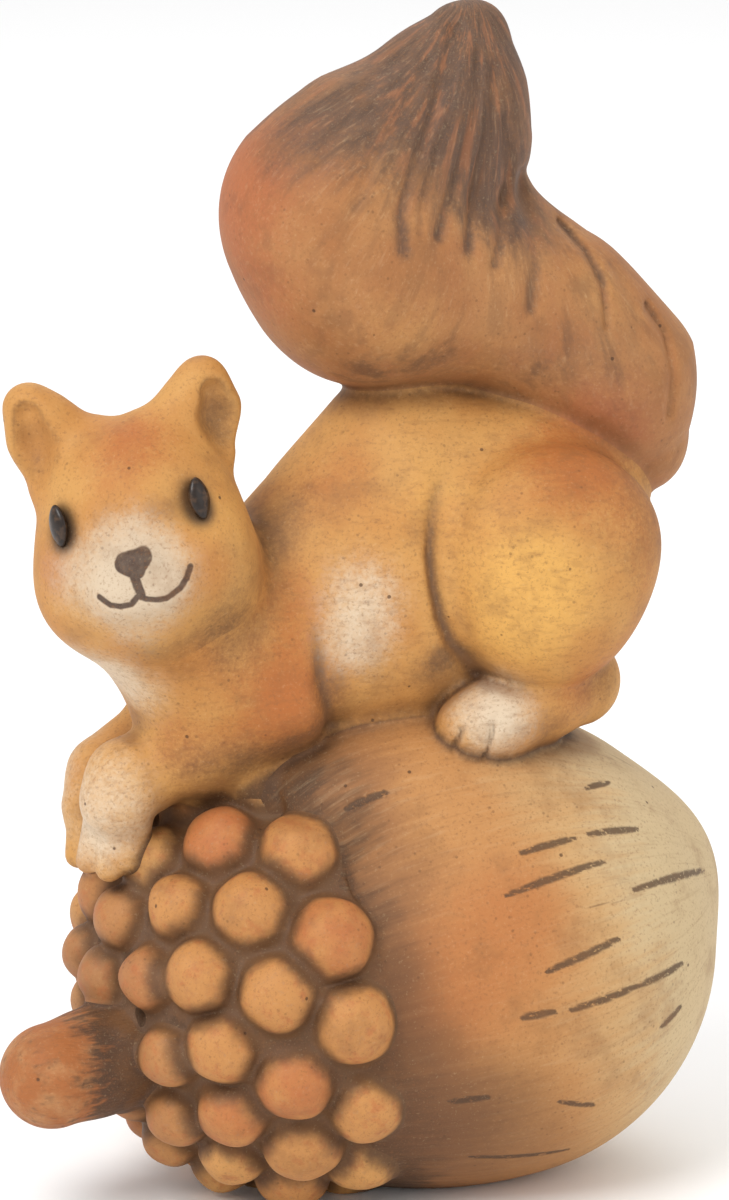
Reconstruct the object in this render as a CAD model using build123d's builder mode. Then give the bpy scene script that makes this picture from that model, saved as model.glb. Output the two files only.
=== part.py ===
"""Squirrel crouching on an acorn: a hollow, painted figurine with a flat foot.

The frame stands on the floor at z = 0, with +Z up and +X along the acorn
towards the tip of the nut. Lengths are millimetres, angles are degrees.
"""

import os
from math import asin, cos, degrees, radians, sin, sqrt

from build123d import *

os.makedirs("parts", exist_ok=True)

# Casting
wall = 4.5
vent_diameter = 3.0
vent_x = 10.0
pour_diameter = 8.0
pour_reach_share = 1.25
limb_start_share = 0.97
overrun = 2.0

# Acorn nut, lying with its tip raised
acorn_tilt = 12.0
nut_radius = 40.4
nut_tip_length = 41.5
nut_back_length = 68.0
nut_seat_distance = 29.0
foot_sink = 0.65
widest_x = 12.0

# Acorn cap, its knobs and its stem
cap_radius = 34.5
cap_depth = 33.0
cap_skirt = 4.0
cap_rise = 4.7
knob_radius = 6.3
stem_radius = 8.3
stem_end_radius = 7.5
stem_reach = 14.0

# Each ring: plane along the cap (share of its depth), ring radius (share of the
# cap's), knob radius (share of the largest), count and angle of the first knob
knob_ring_shares = [
    (0.061, 0.962, 1.000, 14, 270.0),
    (-0.282, 0.916, 0.985, 14, 282.9),
    (-0.570, 0.786, 0.825, 14, 270.0),
    (-0.803, 0.586, 0.745, 10, 267.0),
    (-0.945, 0.354, 0.700, 6, 268.0),
]
rest_share = 0.86
knob_least_share = 0.12

# Squirrel's body
body_length = 95.0
body_height = 58.0
body_width = 39.0
body_shift = 2.5

# Chains of balls and cones that make up the body. Each row is a ball: place along
# the body (share of its length, from the crown), across it (share of its width),
# height (share of its height) and radius (share of its width)
trunk_chain_shares = [
    [(-0.183, 0, 0.517, 0.445), (-0.073, 0, 0.793, 0.223)],
    [(-0.039, 0, 0.664, 0.479), (0.215, 0, 0.621, 0.513)],
    [(-0.081, 0, 0.333, 0.568), (0.159, 0, 0.302, 0.435)],
    [(-0.061, 0, 0.345, 0.443), (-0.350, 0, 0.177, 0.420)],
    [(-0.400, -0.129, 0.163, 0.375), (-0.528, -0.230, 0.455, 0.362)],
]
chest_chain_shares = [(-0.327, 0, 0.190, 0.401), (-0.400, -0.070, 0.020, 0.350)]

# Head, turned towards the squirrel's left
head_radius = 16.4
cheek_radius = 14.3
muzzle_radius = 7.7
head_place_share = (-0.539, -0.27, 0.678)
cheek_offset_share = (-0.16, -0.37, -0.44)
muzzle_offset_share = (-0.40, -1.04, -0.46)
eye_height = 6.2
eye_width = 3.8
eye_direction_shares = {"left": (0.28, -0.88, 0.39), "right": (-0.90, -0.43, 0.10)}
eye_sink = 0.9

# Ears, as offsets from the middle of the head in shares of its radius
ear_width = 13.8
ear_base_shares = {"left": (0.52, 0.00, 0.88), "right": (-0.80, 0.24, 0.66)}
ear_tip_shares = {"left": (0.66, 0.12, 1.31), "right": (-1.09, 0.30, 1.14)}
ear_radius_shares = {"left": (0.500, 0.283), "right": (0.370, 0.240)}
ear_across = Vector(0.96, -0.28, 0)
dish_set_share = 0.72
dish_radius_share = 0.62

# Front legs: shoulder and elbow from the body, paws on the cap
shoulder_radius = 9.3
elbow_radius = 8.3
wrist_radius = 7.0
palm_radius = 6.3
finger_radius = 4.3
shoulder_share = (-0.283, 0.35, 0.30)
elbow_share = (-0.296, 0.39, 0.14)
wrist_direction_shares = {"left": (-0.44, -0.17, 0.88), "right": (-0.42, 0.31, 0.85)}
palm_direction_shares = {"left": (-0.65, -0.09, 0.76), "right": (-0.60, 0.31, 0.74)}
finger_direction_shares = {"left": (-0.77, -0.12, 0.62), "right": (-0.73, 0.33, 0.60)}
knob_stand_share = 0.60

# Back legs
haunch_radius = 17.3
thigh_radius = 16.3
haunch_share = (0.173, 0.36, 0.545)
thigh_share = (0.160, 0.38, 0.417)
heel_radius = 9.2
toe_radius = 6.6
heel_share = (0.204, 0.29)
toe_share = (0.058, 0.45)

# Tail: the root lies down the back and the plume curls over it. Each row is a ball:
# place from the top of the back and radius, all in shares of the tail's height
tail_height = 63.5
tail_shift = 4.0
root_chain_shares = [(0.076, 0.263, 0.279), (0.332, 0.142, 0.250), (0.512, -0.035, 0.242)]
root_end_share = (0.603, -0.220, 0.127)
plume_chain_shares = [
    (0.084, 0.263, 0.261),
    (-0.164, 0.315, 0.333),
    (-0.259, 0.471, 0.278),
    (-0.129, 0.592, 0.266),
    (0.068, 0.713, 0.216),
]
plume_tip_share = (0.160, 0.933, 0.066)
plume_lobe_share = (0.100, 0.602, 0.183)
plume_foot_shares = [(-0.021, 0.248, 0.268), (-0.102, 0.258, 0.286)]

# Places that the sizes above settle
tilt_cos = cos(radians(acorn_tilt))
tilt_sin = sin(radians(acorn_tilt))
along = Vector(tilt_cos, 0, tilt_sin)
across_up = Vector(-tilt_sin, 0, tilt_cos)
nut_middle = Vector(widest_x, 0, nut_radius * tilt_cos - foot_sink)
seat_middle = nut_middle - along * nut_seat_distance
cap_middle = seat_middle - along * cap_skirt + across_up * cap_rise
crown = nut_middle + across_up * nut_radius
head_middle = crown + Vector(
    head_place_share[0] * body_length,
    body_shift + head_place_share[1] * body_width,
    head_place_share[2] * body_height,
)
neck_pour = (crown + Vector(0, body_shift, 0) - head_middle).normalized()
neck_pour = neck_pour * head_radius * pour_reach_share
knob_top = cap_radius + knob_stand_share * knob_radius
reach = nut_tip_length + nut_back_length + body_length + tail_height


def sideways(share):
    """Offset from the middle of the head, in shares of the head's radius."""
    return Vector(*share) * head_radius


def tapered(start, end, start_radius, end_radius):
    """Round limb: a ball at each end and the cone that touches both."""
    path = end - start
    lean = asin((start_radius - end_radius) / path.length)
    side = Plane(origin=start, x_dir=path, z_dir=Vector(0, 1, 0).cross(path))
    near_touch = (start_radius * sin(lean), start_radius * cos(lean))
    far_touch = (path.length + end_radius * sin(lean), end_radius * cos(lean))
    turn = degrees(lean)
    with BuildPart() as form:
        with BuildSketch(side):
            with BuildLine():
                CenterArc((0, 0), start_radius, 180, -(90 + turn))
                Line(near_touch, far_touch)
                CenterArc((path.length, 0), end_radius, 90 - turn, -(90 - turn))
                Line((path.length + end_radius, 0), (-start_radius, 0))
            make_face()
        revolve(axis=Axis(start, path))
    return form.part


def quarter_ellipse(long, tall):
    """Quarter of an ellipse about the sketch's origin, from its crown to its end."""
    Bezier((0, tall), (long, tall), (long, 0), weights=(1, cos(radians(45)), 1))


def spheroid(middle, axis, half_length, radius):
    """Egg of revolution about an axis through its middle."""
    helper = Vector(1, 0, 0) if abs(axis.Y) > abs(axis.X) else Vector(0, 1, 0)
    side = Plane(origin=middle, x_dir=axis, z_dir=helper.cross(axis))
    with BuildPart() as form:
        with BuildSketch(side):
            with BuildLine():
                quarter_ellipse(half_length, radius)
                quarter_ellipse(-half_length, radius)
                Line((-half_length, 0), (half_length, 0))
            make_face()
        revolve(axis=Axis(middle, axis), revolution_arc=180)
        mirror(about=side)
    return form.part


def nut_solid(inset):
    """Nut from its flat seat to its tip, drawn inset by a wall."""
    radius = nut_radius - inset
    upright = Plane(origin=nut_middle, x_dir=along, z_dir=Vector(0, -1, 0))
    with BuildPart() as form:
        with BuildSketch(upright):
            with BuildLine():
                back = nut_back_length - inset
                tip = nut_tip_length - inset
                quarter_ellipse(tip, radius)
                quarter_ellipse(-back, radius)
                Line((-back, 0), (tip, 0))
            make_face()
        revolve(axis=Axis(nut_middle, along), revolution_arc=180)
        mirror(about=upright)
        split(bisect_by=Plane(origin=seat_middle + along * inset, z_dir=along), keep=Keep.TOP)
    return form.part


def cap_solid(inset):
    """Cap as a ball's end on a short skirt up to the seat, drawn inset by a wall."""
    radius = cap_radius - inset
    depth = cap_depth - inset
    ball_radius = (radius**2 + depth**2) / (2 * depth)
    shoulder = sqrt(ball_radius**2 - (ball_radius - depth / 2) ** 2)
    with BuildPart() as form:
        with BuildSketch(Plane(origin=cap_middle, x_dir=along, z_dir=Vector(0, -1, 0))):
            with BuildLine():
                Line((-depth, 0), (cap_skirt, 0))
                Line((cap_skirt, 0), (cap_skirt, radius))
                Line((cap_skirt, radius), (0, radius))
                ThreePointArc((0, radius), (-depth / 2, shoulder), (-depth, 0))
            make_face()
        revolve(axis=Axis(cap_middle, along))
    return form.part


def body_point(row):
    """Middle of a ball of the body."""
    return crown + Vector(
        body_length * row[0], body_shift + body_width * row[1], body_height * row[2]
    )


def tail_point(row):
    """Middle of a ball of the tail, from the top of the back over the crown."""
    return crown + Vector(tail_height * row[0], tail_shift, body_height + tail_height * row[1])


def limbs_of(balls):
    """Limbs from ball to ball, each one starting a little inside the end of the last."""
    return [
        tapered(near, far, near_radius * limb_start_share, far_radius)
        for (near, near_radius), (far, far_radius) in zip(balls, balls[1:])
    ]


def body_limbs(inset, chain):
    """Limbs of a chain of the body, drawn inset by a wall."""
    return limbs_of([(body_point(row), body_width * row[3] - inset) for row in chain])


def tail_limbs(inset, chain):
    """Limbs of a chain of the tail, drawn inset by a wall."""
    return limbs_of([(tail_point(row), tail_height * row[2] - inset) for row in chain])


def joined(limbs):
    """One form out of limbs that run into each other."""
    with BuildPart() as form:
        for limb in limbs:
            add(limb)
    return form.part


def ear_solid(side):
    """Rounded ear that rises out of the head, dished on the face's side."""
    base = head_middle + sideways(ear_base_shares[side])
    tip = head_middle + sideways(ear_tip_shares[side])
    base_radius, tip_radius = (ear_width * share for share in ear_radius_shares[side])
    facing = (tip - base).cross(ear_across).normalized()
    dish_root = base + facing * base_radius * (dish_set_share + dish_radius_share)
    dish_end = tip + facing * tip_radius * (dish_set_share + dish_radius_share)
    dish = tapered(
        dish_root, dish_end, base_radius * dish_radius_share, tip_radius * dish_radius_share
    )
    with BuildPart() as form:
        add(tapered(base, tip, base_radius, tip_radius))
        add(dish, mode=Mode.SUBTRACT)
    return form.part


def on_cap(direction, height):
    """Point at a height over the knobs of the cap, in a direction from its middle."""
    return cap_middle + Vector(*direction).normalized() * (knob_top + height)


def body_place(share, side):
    """Place beside the body: shares of its length, half width and height."""
    return crown + Vector(
        body_length * share[0],
        body_shift + side * body_width * share[1],
        body_height * share[2],
    )


def foot_place(share, radius, side):
    """Place of a ball that stands on the nut beside the body."""
    out = body_width * share[1] * side + body_shift
    drop = nut_radius - sqrt(nut_radius**2 - out**2)
    return crown + Vector(body_length * share[0], out, radius * rest_share - drop)


def knob_solid(middle, radius):
    """One knob, cut back by what it sits on and by what lies on it, or None if little is left."""
    ball = Solid.make_sphere(radius, Plane(origin=middle, z_dir=middle - cap_middle))
    least = knob_least_share * ball.volume
    for form, box in knob_cutters:
        if ball and box_near(box, middle, radius):
            ball = largest(ball - form)
    return ball if ball and ball.volume > least else None


def box_near(box, middle, radius):
    """Whether the box around a form reaches a ball."""
    return (
        abs(box.center().X - middle.X) < box.size.X / 2 + radius
        and abs(box.center().Y - middle.Y) < box.size.Y / 2 + radius
        and abs(box.center().Z - middle.Z) < box.size.Z / 2 + radius
    )


def largest(part):
    """The biggest solid of a part, without the crumbs of a cut, or None if nothing is left."""
    solids = part.solids() if part else []
    return solids.sort_by(SortBy.VOLUME)[-1] if solids else None


def write(part, name):
    """Label a finished piece and write it."""
    part.label = name
    export_step(part, f"parts/{name}.step")


# Outer forms: each one overlaps its neighbours and is cut back by them below
nut_form = nut_solid(0)
cap_form = cap_solid(0)
trunk_limbs = [limb for chain in trunk_chain_shares for limb in body_limbs(0, chain)]
trunk_hollows = [limb for chain in trunk_chain_shares for limb in body_limbs(wall, chain)]
chest_limbs = body_limbs(0, chest_chain_shares)
body_form = joined(trunk_limbs + chest_limbs)
root_form = joined(tail_limbs(0, [*root_chain_shares, root_end_share]))
plume_form = joined(
    tail_limbs(0, [*plume_chain_shares, plume_tip_share])
    + tail_limbs(0, [plume_chain_shares[-1], plume_lobe_share])
    + tail_limbs(0, plume_foot_shares)
)
stem_root = cap_middle - along * (cap_depth - stem_radius) - Vector(0, stem_radius, stem_radius / 2)
stem_end = stem_root - along * (stem_reach + stem_radius) - Vector(0, stem_radius / 4, 0)
stem_form = tapered(stem_root, stem_end, stem_radius, stem_end_radius)

with BuildPart() as floor_form:
    with Locations((0, 0, -reach / 2)):
        Box(2 * reach, 2 * reach, reach)

plume_joint = tail_point(root_chain_shares[0])
plume_pour = (tail_point(root_chain_shares[1]) - plume_joint).normalized()
plume_pour = plume_pour * tail_height * root_chain_shares[0][2] * pour_reach_share

with BuildPart() as head_form:
    with Locations(head_middle):
        Sphere(head_radius)
    with Locations(head_middle + sideways(cheek_offset_share)):
        Sphere(cheek_radius)
    with Locations(head_middle + sideways(muzzle_offset_share)):
        Sphere(muzzle_radius)

sides = {"left": -1, "right": 1}
eye_forms = {}
ear_forms = {}
haunch_forms = {}
foot_forms = {}
foreleg_limbs = {}
forepaw_limbs = {}
foreleg_forms = {}
forepaw_forms = {}
for side, hand in sides.items():
    gaze = Vector(*eye_direction_shares[side]).normalized()
    eye_middle = head_middle + gaze * (head_radius - eye_sink)
    eye_forms[side] = spheroid(eye_middle, Vector(0, 0, 1), eye_height / 2, eye_width / 2)
    ear_forms[side] = ear_solid(side)
    haunch_forms[side] = tapered(
        body_place(haunch_share, hand), body_place(thigh_share, hand), haunch_radius, thigh_radius
    )
    heel = foot_place(heel_share, heel_radius, hand)
    toe = foot_place(toe_share, toe_radius, hand)
    foot_forms[side] = tapered(heel, toe, heel_radius, toe_radius)
    shoulder = body_place(shoulder_share, hand)
    elbow = body_place(elbow_share, hand)
    wrist = on_cap(wrist_direction_shares[side], wrist_radius * rest_share)
    palm = on_cap(palm_direction_shares[side], palm_radius * rest_share)
    fingers = on_cap(finger_direction_shares[side], finger_radius * rest_share)
    foreleg_limbs[side] = [
        tapered(shoulder, elbow, shoulder_radius, elbow_radius),
        tapered(elbow, wrist, elbow_radius, wrist_radius),
    ]
    forepaw_limbs[side] = [
        tapered(wrist, palm, palm_radius, palm_radius),
        tapered(palm, fingers, palm_radius, finger_radius),
    ]
    foreleg_forms[side] = joined(foreleg_limbs[side])
    forepaw_forms[side] = joined(forepaw_limbs[side])


# Acorn nut: a closed shell with a flat foot and a firing vent through it
with BuildPart() as nut_hollow:
    add(nut_solid(wall))
    split(bisect_by=Plane.XY.offset(wall), keep=Keep.TOP)

with BuildPart() as acorn_nut:
    add(nut_form)
    split(bisect_by=Plane.XY, keep=Keep.TOP)
    add(nut_hollow.part, mode=Mode.SUBTRACT)
    with Locations((vent_x, 0, wall / 2)):
        Cylinder(vent_diameter / 2, wall + overrun, mode=Mode.SUBTRACT)
write(acorn_nut.part, "acorn_nut")

# Acorn cap: a dome open towards the seat, where its rim is luted to the nut
with BuildPart() as acorn_cap:
    add(cap_form)
    add(cap_solid(wall), mode=Mode.SUBTRACT)
    split(bisect_by=Plane.XY, keep=Keep.TOP)
write(acorn_cap.part, "acorn_cap")

with BuildPart() as acorn_stem:
    add(stem_form)
    add(cap_form, mode=Mode.SUBTRACT)
write(acorn_stem.part, "acorn_stem")

# Knobs of the cap, ring by ring, cut where the squirrel lies on them
lying_forms = [*trunk_limbs, *chest_limbs, stem_form]
for side in sides:
    lying_forms += foreleg_limbs[side] + forepaw_limbs[side]
knob_cutters = [
    (form, form.bounding_box()) for form in (cap_form, nut_form, floor_form.part, *lying_forms)
]
for number, knob_ring in enumerate(knob_ring_shares, 1):
    plane_share, ring_share, knob_share, count, first_angle = knob_ring
    radius = knob_radius * knob_share
    ring_middle = cap_middle + along * cap_depth * plane_share
    with BuildPart() as cap_knobs:
        for turn in range(count):
            angle = radians(first_angle + 360 * turn / count)
            outward = across_up * cos(angle) + Vector(0, sin(angle), 0)
            knob = knob_solid(ring_middle + outward * cap_radius * ring_share, radius)
            if knob:
                add(knob)
    write(cap_knobs.part, f"cap_knobs_ring_{number}")

# Body: a shell that sits on the acorn and takes the head in its chest
with BuildPart() as squirrel_body:
    add(body_form)
    add(joined(trunk_hollows), mode=Mode.SUBTRACT)
    for form in (nut_form, cap_form, head_form.part):
        add(form, mode=Mode.SUBTRACT)
    with Locations(crown + Vector(0, body_shift, 0)):
        Cylinder(pour_diameter / 2, body_height, mode=Mode.SUBTRACT)
write(squirrel_body.part, "squirrel_body")

with BuildPart() as squirrel_head:
    add(head_form.part)
    with Locations(head_middle):
        Sphere(head_radius - wall, mode=Mode.SUBTRACT)
    with Locations(Plane(origin=head_middle + neck_pour / 2, z_dir=neck_pour)):
        Cylinder(pour_diameter / 2, neck_pour.length, mode=Mode.SUBTRACT)
    for form in eye_forms.values():
        add(form, mode=Mode.SUBTRACT)
write(squirrel_head.part, "squirrel_head")

for side in sides:
    with BuildPart() as eye:
        add(eye_forms[side])
    write(eye.part, f"eye_{side}")

    with BuildPart() as ear:
        add(ear_forms[side])
        add(head_form.part, mode=Mode.SUBTRACT)
    write(ear.part, f"ear_{side}")

    with BuildPart() as foreleg:
        add(foreleg_forms[side])
        for form in (body_form, head_form.part, cap_form, nut_form):
            add(form, mode=Mode.SUBTRACT)
    write(foreleg.part, f"foreleg_{side}")

    with BuildPart() as forepaw:
        add(forepaw_forms[side])
        for form in (foreleg_forms[side], body_form, cap_form):
            add(form, mode=Mode.SUBTRACT)
    write(forepaw.part, f"forepaw_{side}")

    with BuildPart() as haunch:
        add(haunch_forms[side])
        for form in (body_form, nut_form):
            add(form, mode=Mode.SUBTRACT)
    write(haunch.part, f"haunch_{side}")

    with BuildPart() as hind_foot:
        add(foot_forms[side])
        for form in (haunch_forms[side], body_form, nut_form):
            add(form, mode=Mode.SUBTRACT)
    write(hind_foot.part, f"hind_foot_{side}")

# Tail: the plume is hollow, and the root is luted to it and to the back
with BuildPart() as tail_plume:
    add(plume_form)
    add(joined(tail_limbs(wall, plume_chain_shares)), mode=Mode.SUBTRACT)
    with Locations(Plane(origin=plume_joint + plume_pour / 2, z_dir=plume_pour)):
        Cylinder(pour_diameter / 2, plume_pour.length, mode=Mode.SUBTRACT)
    add(body_form, mode=Mode.SUBTRACT)
write(tail_plume.part, "tail_plume")

with BuildPart() as tail_root:
    add(root_form)
    add(joined(tail_limbs(wall, root_chain_shares)), mode=Mode.SUBTRACT)
    for form in (plume_form, body_form, *haunch_forms.values()):
        add(form, mode=Mode.SUBTRACT)
write(tail_root.part, "tail_root")
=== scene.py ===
"""Looks of a painted ceramic squirrel on a lying acorn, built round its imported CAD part.

The figurine is sculpted as one distance field, so that every piece meets its
neighbours along a shared border, and is then parted into closed pieces.
Lengths are millimetres until a mesh is made, and the row frame is the CAD's.
"""

from __future__ import annotations

import logging
import math
from dataclasses import dataclass, field
from enum import Enum
from typing import Callable, ClassVar, Sequence

import bmesh
import bpy
import numpy as np
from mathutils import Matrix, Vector

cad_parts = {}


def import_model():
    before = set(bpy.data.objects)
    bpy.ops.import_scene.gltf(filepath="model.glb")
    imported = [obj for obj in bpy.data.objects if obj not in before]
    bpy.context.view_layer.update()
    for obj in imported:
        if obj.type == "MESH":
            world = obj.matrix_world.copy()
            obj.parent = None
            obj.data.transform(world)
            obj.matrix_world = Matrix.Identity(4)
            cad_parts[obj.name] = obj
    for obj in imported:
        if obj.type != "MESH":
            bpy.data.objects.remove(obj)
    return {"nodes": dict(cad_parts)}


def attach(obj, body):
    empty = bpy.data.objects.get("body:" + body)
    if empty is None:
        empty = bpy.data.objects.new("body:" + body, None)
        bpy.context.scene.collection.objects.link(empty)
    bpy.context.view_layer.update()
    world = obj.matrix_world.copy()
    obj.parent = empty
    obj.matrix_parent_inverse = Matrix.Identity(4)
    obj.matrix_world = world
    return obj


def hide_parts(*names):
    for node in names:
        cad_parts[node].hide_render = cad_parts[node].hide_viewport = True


log = logging.getLogger("figurine")

Array = np.ndarray
Rows = Sequence[tuple[float, ...]]
#: middle and three radii
Egg = tuple[tuple[float, ...], tuple[float, ...]]
#: lowest and highest corner
Room = tuple[tuple[float, ...], tuple[float, ...]]
Field = Callable[[Array], Array]
Masks = Callable[[Array, Array], dict[str, Array]]
Paint = tuple[float, ...]
Socket = bpy.types.NodeSocket

MM = 0.001
ROOT = "root"
#: how much of the light a paint gives back, next to how it is read
PAINT_DEPTH = 0.80
#: distance given to points that are far from a form, and to lines that are far from a point
FAR = 60.0
OUT_OF_REACH = 1e3
#: added to lengths that are divided by
TINY = 1e-6


def ball(points: Array, middle: Array, radius: float) -> Array:
    """Distance to a ball."""
    return np.sqrt(((points - np.float32(middle)) ** 2).sum(1)) - radius


def egg(points: Array, middle: Array, radii: tuple[float, ...], axes: Array | None = None) -> Array:
    """Distance, near enough, to an egg with three radii along its own axes.

    Args:
        points: where to measure.
        middle: the egg's middle.
        radii: its three radii.
        axes: rows of its axes, or none for the frame's own.

    Returns:
        The distance of every point, negative inside.
    """
    offset = points - np.float32(middle)
    if axes is not None:
        offset = offset @ np.float32(axes).T
    scaled = offset / np.float32(radii)
    near = np.sqrt((scaled**2).sum(1)) + TINY
    slope = np.sqrt(((scaled / np.float32(radii)) ** 2).sum(1)) + TINY
    return near * (near - 1) / slope


def dome(place: Array, out: Array, length: Array, radius: float) -> Array:
    """Distance, near enough, to a round dome over an axis.

    Args:
        place: place of each point along the axis, from the middle.
        out: its distance from the axis.
        length: the dome's length on that side of the middle.
        radius: its radius.

    Returns:
        The distance of every point, negative inside.
    """
    near = np.sqrt((place / length) ** 2 + (out / radius) ** 2) + TINY
    slope = np.sqrt((place / length**2) ** 2 + (out / radius**2) ** 2) + TINY
    return near * (near - 1) / slope


def limb(points: Array, start: Array, end: Array, radius: float, end_radius: float) -> Array:
    """Distance to a round limb whose radius changes evenly.

    Args:
        points: where to measure.
        start: middle of one end.
        end: middle of the other end.
        radius: radius at the start.
        end_radius: radius at the end.

    Returns:
        The distance of every point, negative inside.
    """
    start, path = np.float32(start), np.float32(end) - np.float32(start)
    share = np.clip((points - start) @ path / (path @ path), 0, 1)
    offset = points - start - share[:, None] * path
    return np.sqrt((offset**2).sum(1)) - (radius + (end_radius - radius) * share)


def melt(one: Array, other: Array, width: float) -> Array:
    """Union of two forms with a soft crease between them."""
    near = np.maximum(width - np.abs(one - other), 0) / width
    return np.minimum(one, other) - near * near * width / 4


def carve(one: Array, other: Array, width: float) -> Array:
    """First form with the other one taken out of it, softly."""
    return -melt(-one, other, width)


def chain(points: Array, rows: Rows, width: float) -> Array:
    """Limbs from ball to ball, melted into each other.

    Args:
        points: where to measure.
        rows: x, y, z and radius of each ball.
        width: width of the soft creases.

    Returns:
        The distance of every point, negative inside.
    """
    form = None
    for start, end in zip(rows, rows[1:]):
        part = limb(points, start[:3], end[:3], start[3], end[3])
        form = part if form is None else melt(form, part, width)
    return form


def line_distance(flat: Array, line: Rows) -> Array:
    """Distance to a drawn line, in half widths.

    Args:
        flat: points of two coordinates.
        line: two coordinates and the half width of each point of the line.

    Returns:
        The distance of every point, 1 at the line's edge.
    """
    best = np.full(len(flat), OUT_OF_REACH, np.float32)
    for start, end in zip(line, line[1:]):
        origin, path = np.float32(start[:2]), np.float32(end[:2]) - np.float32(start[:2])
        share = np.clip((flat - origin) @ path / (path @ path), 0, 1)
        offset = flat - origin - share[:, None] * path
        wide = start[2] + (end[2] - start[2]) * share
        best = np.minimum(best, np.sqrt((offset**2).sum(1)) / wide)
    return best


def within(points: Array, low: tuple[float, ...], high: tuple[float, ...], form: Field) -> Array:
    """Measures a form only where points are near it.

    Args:
        points: all the points.
        low: lowest corner of the form's surroundings.
        high: highest corner of them.
        form: the form's distance.

    Returns:
        The distance, with a large value at points outside the surroundings.
    """
    distance = np.full(len(points), FAR, np.float32)
    near = np.all((points > np.float32(low)) & (points < np.float32(high)), axis=1)
    if near.any():
        distance[near] = form(points[near])
    return distance


def bell(distance: Array) -> Array:
    """Soft bump of height one that ends at about two half widths."""
    return np.exp(-(distance**2))


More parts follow.
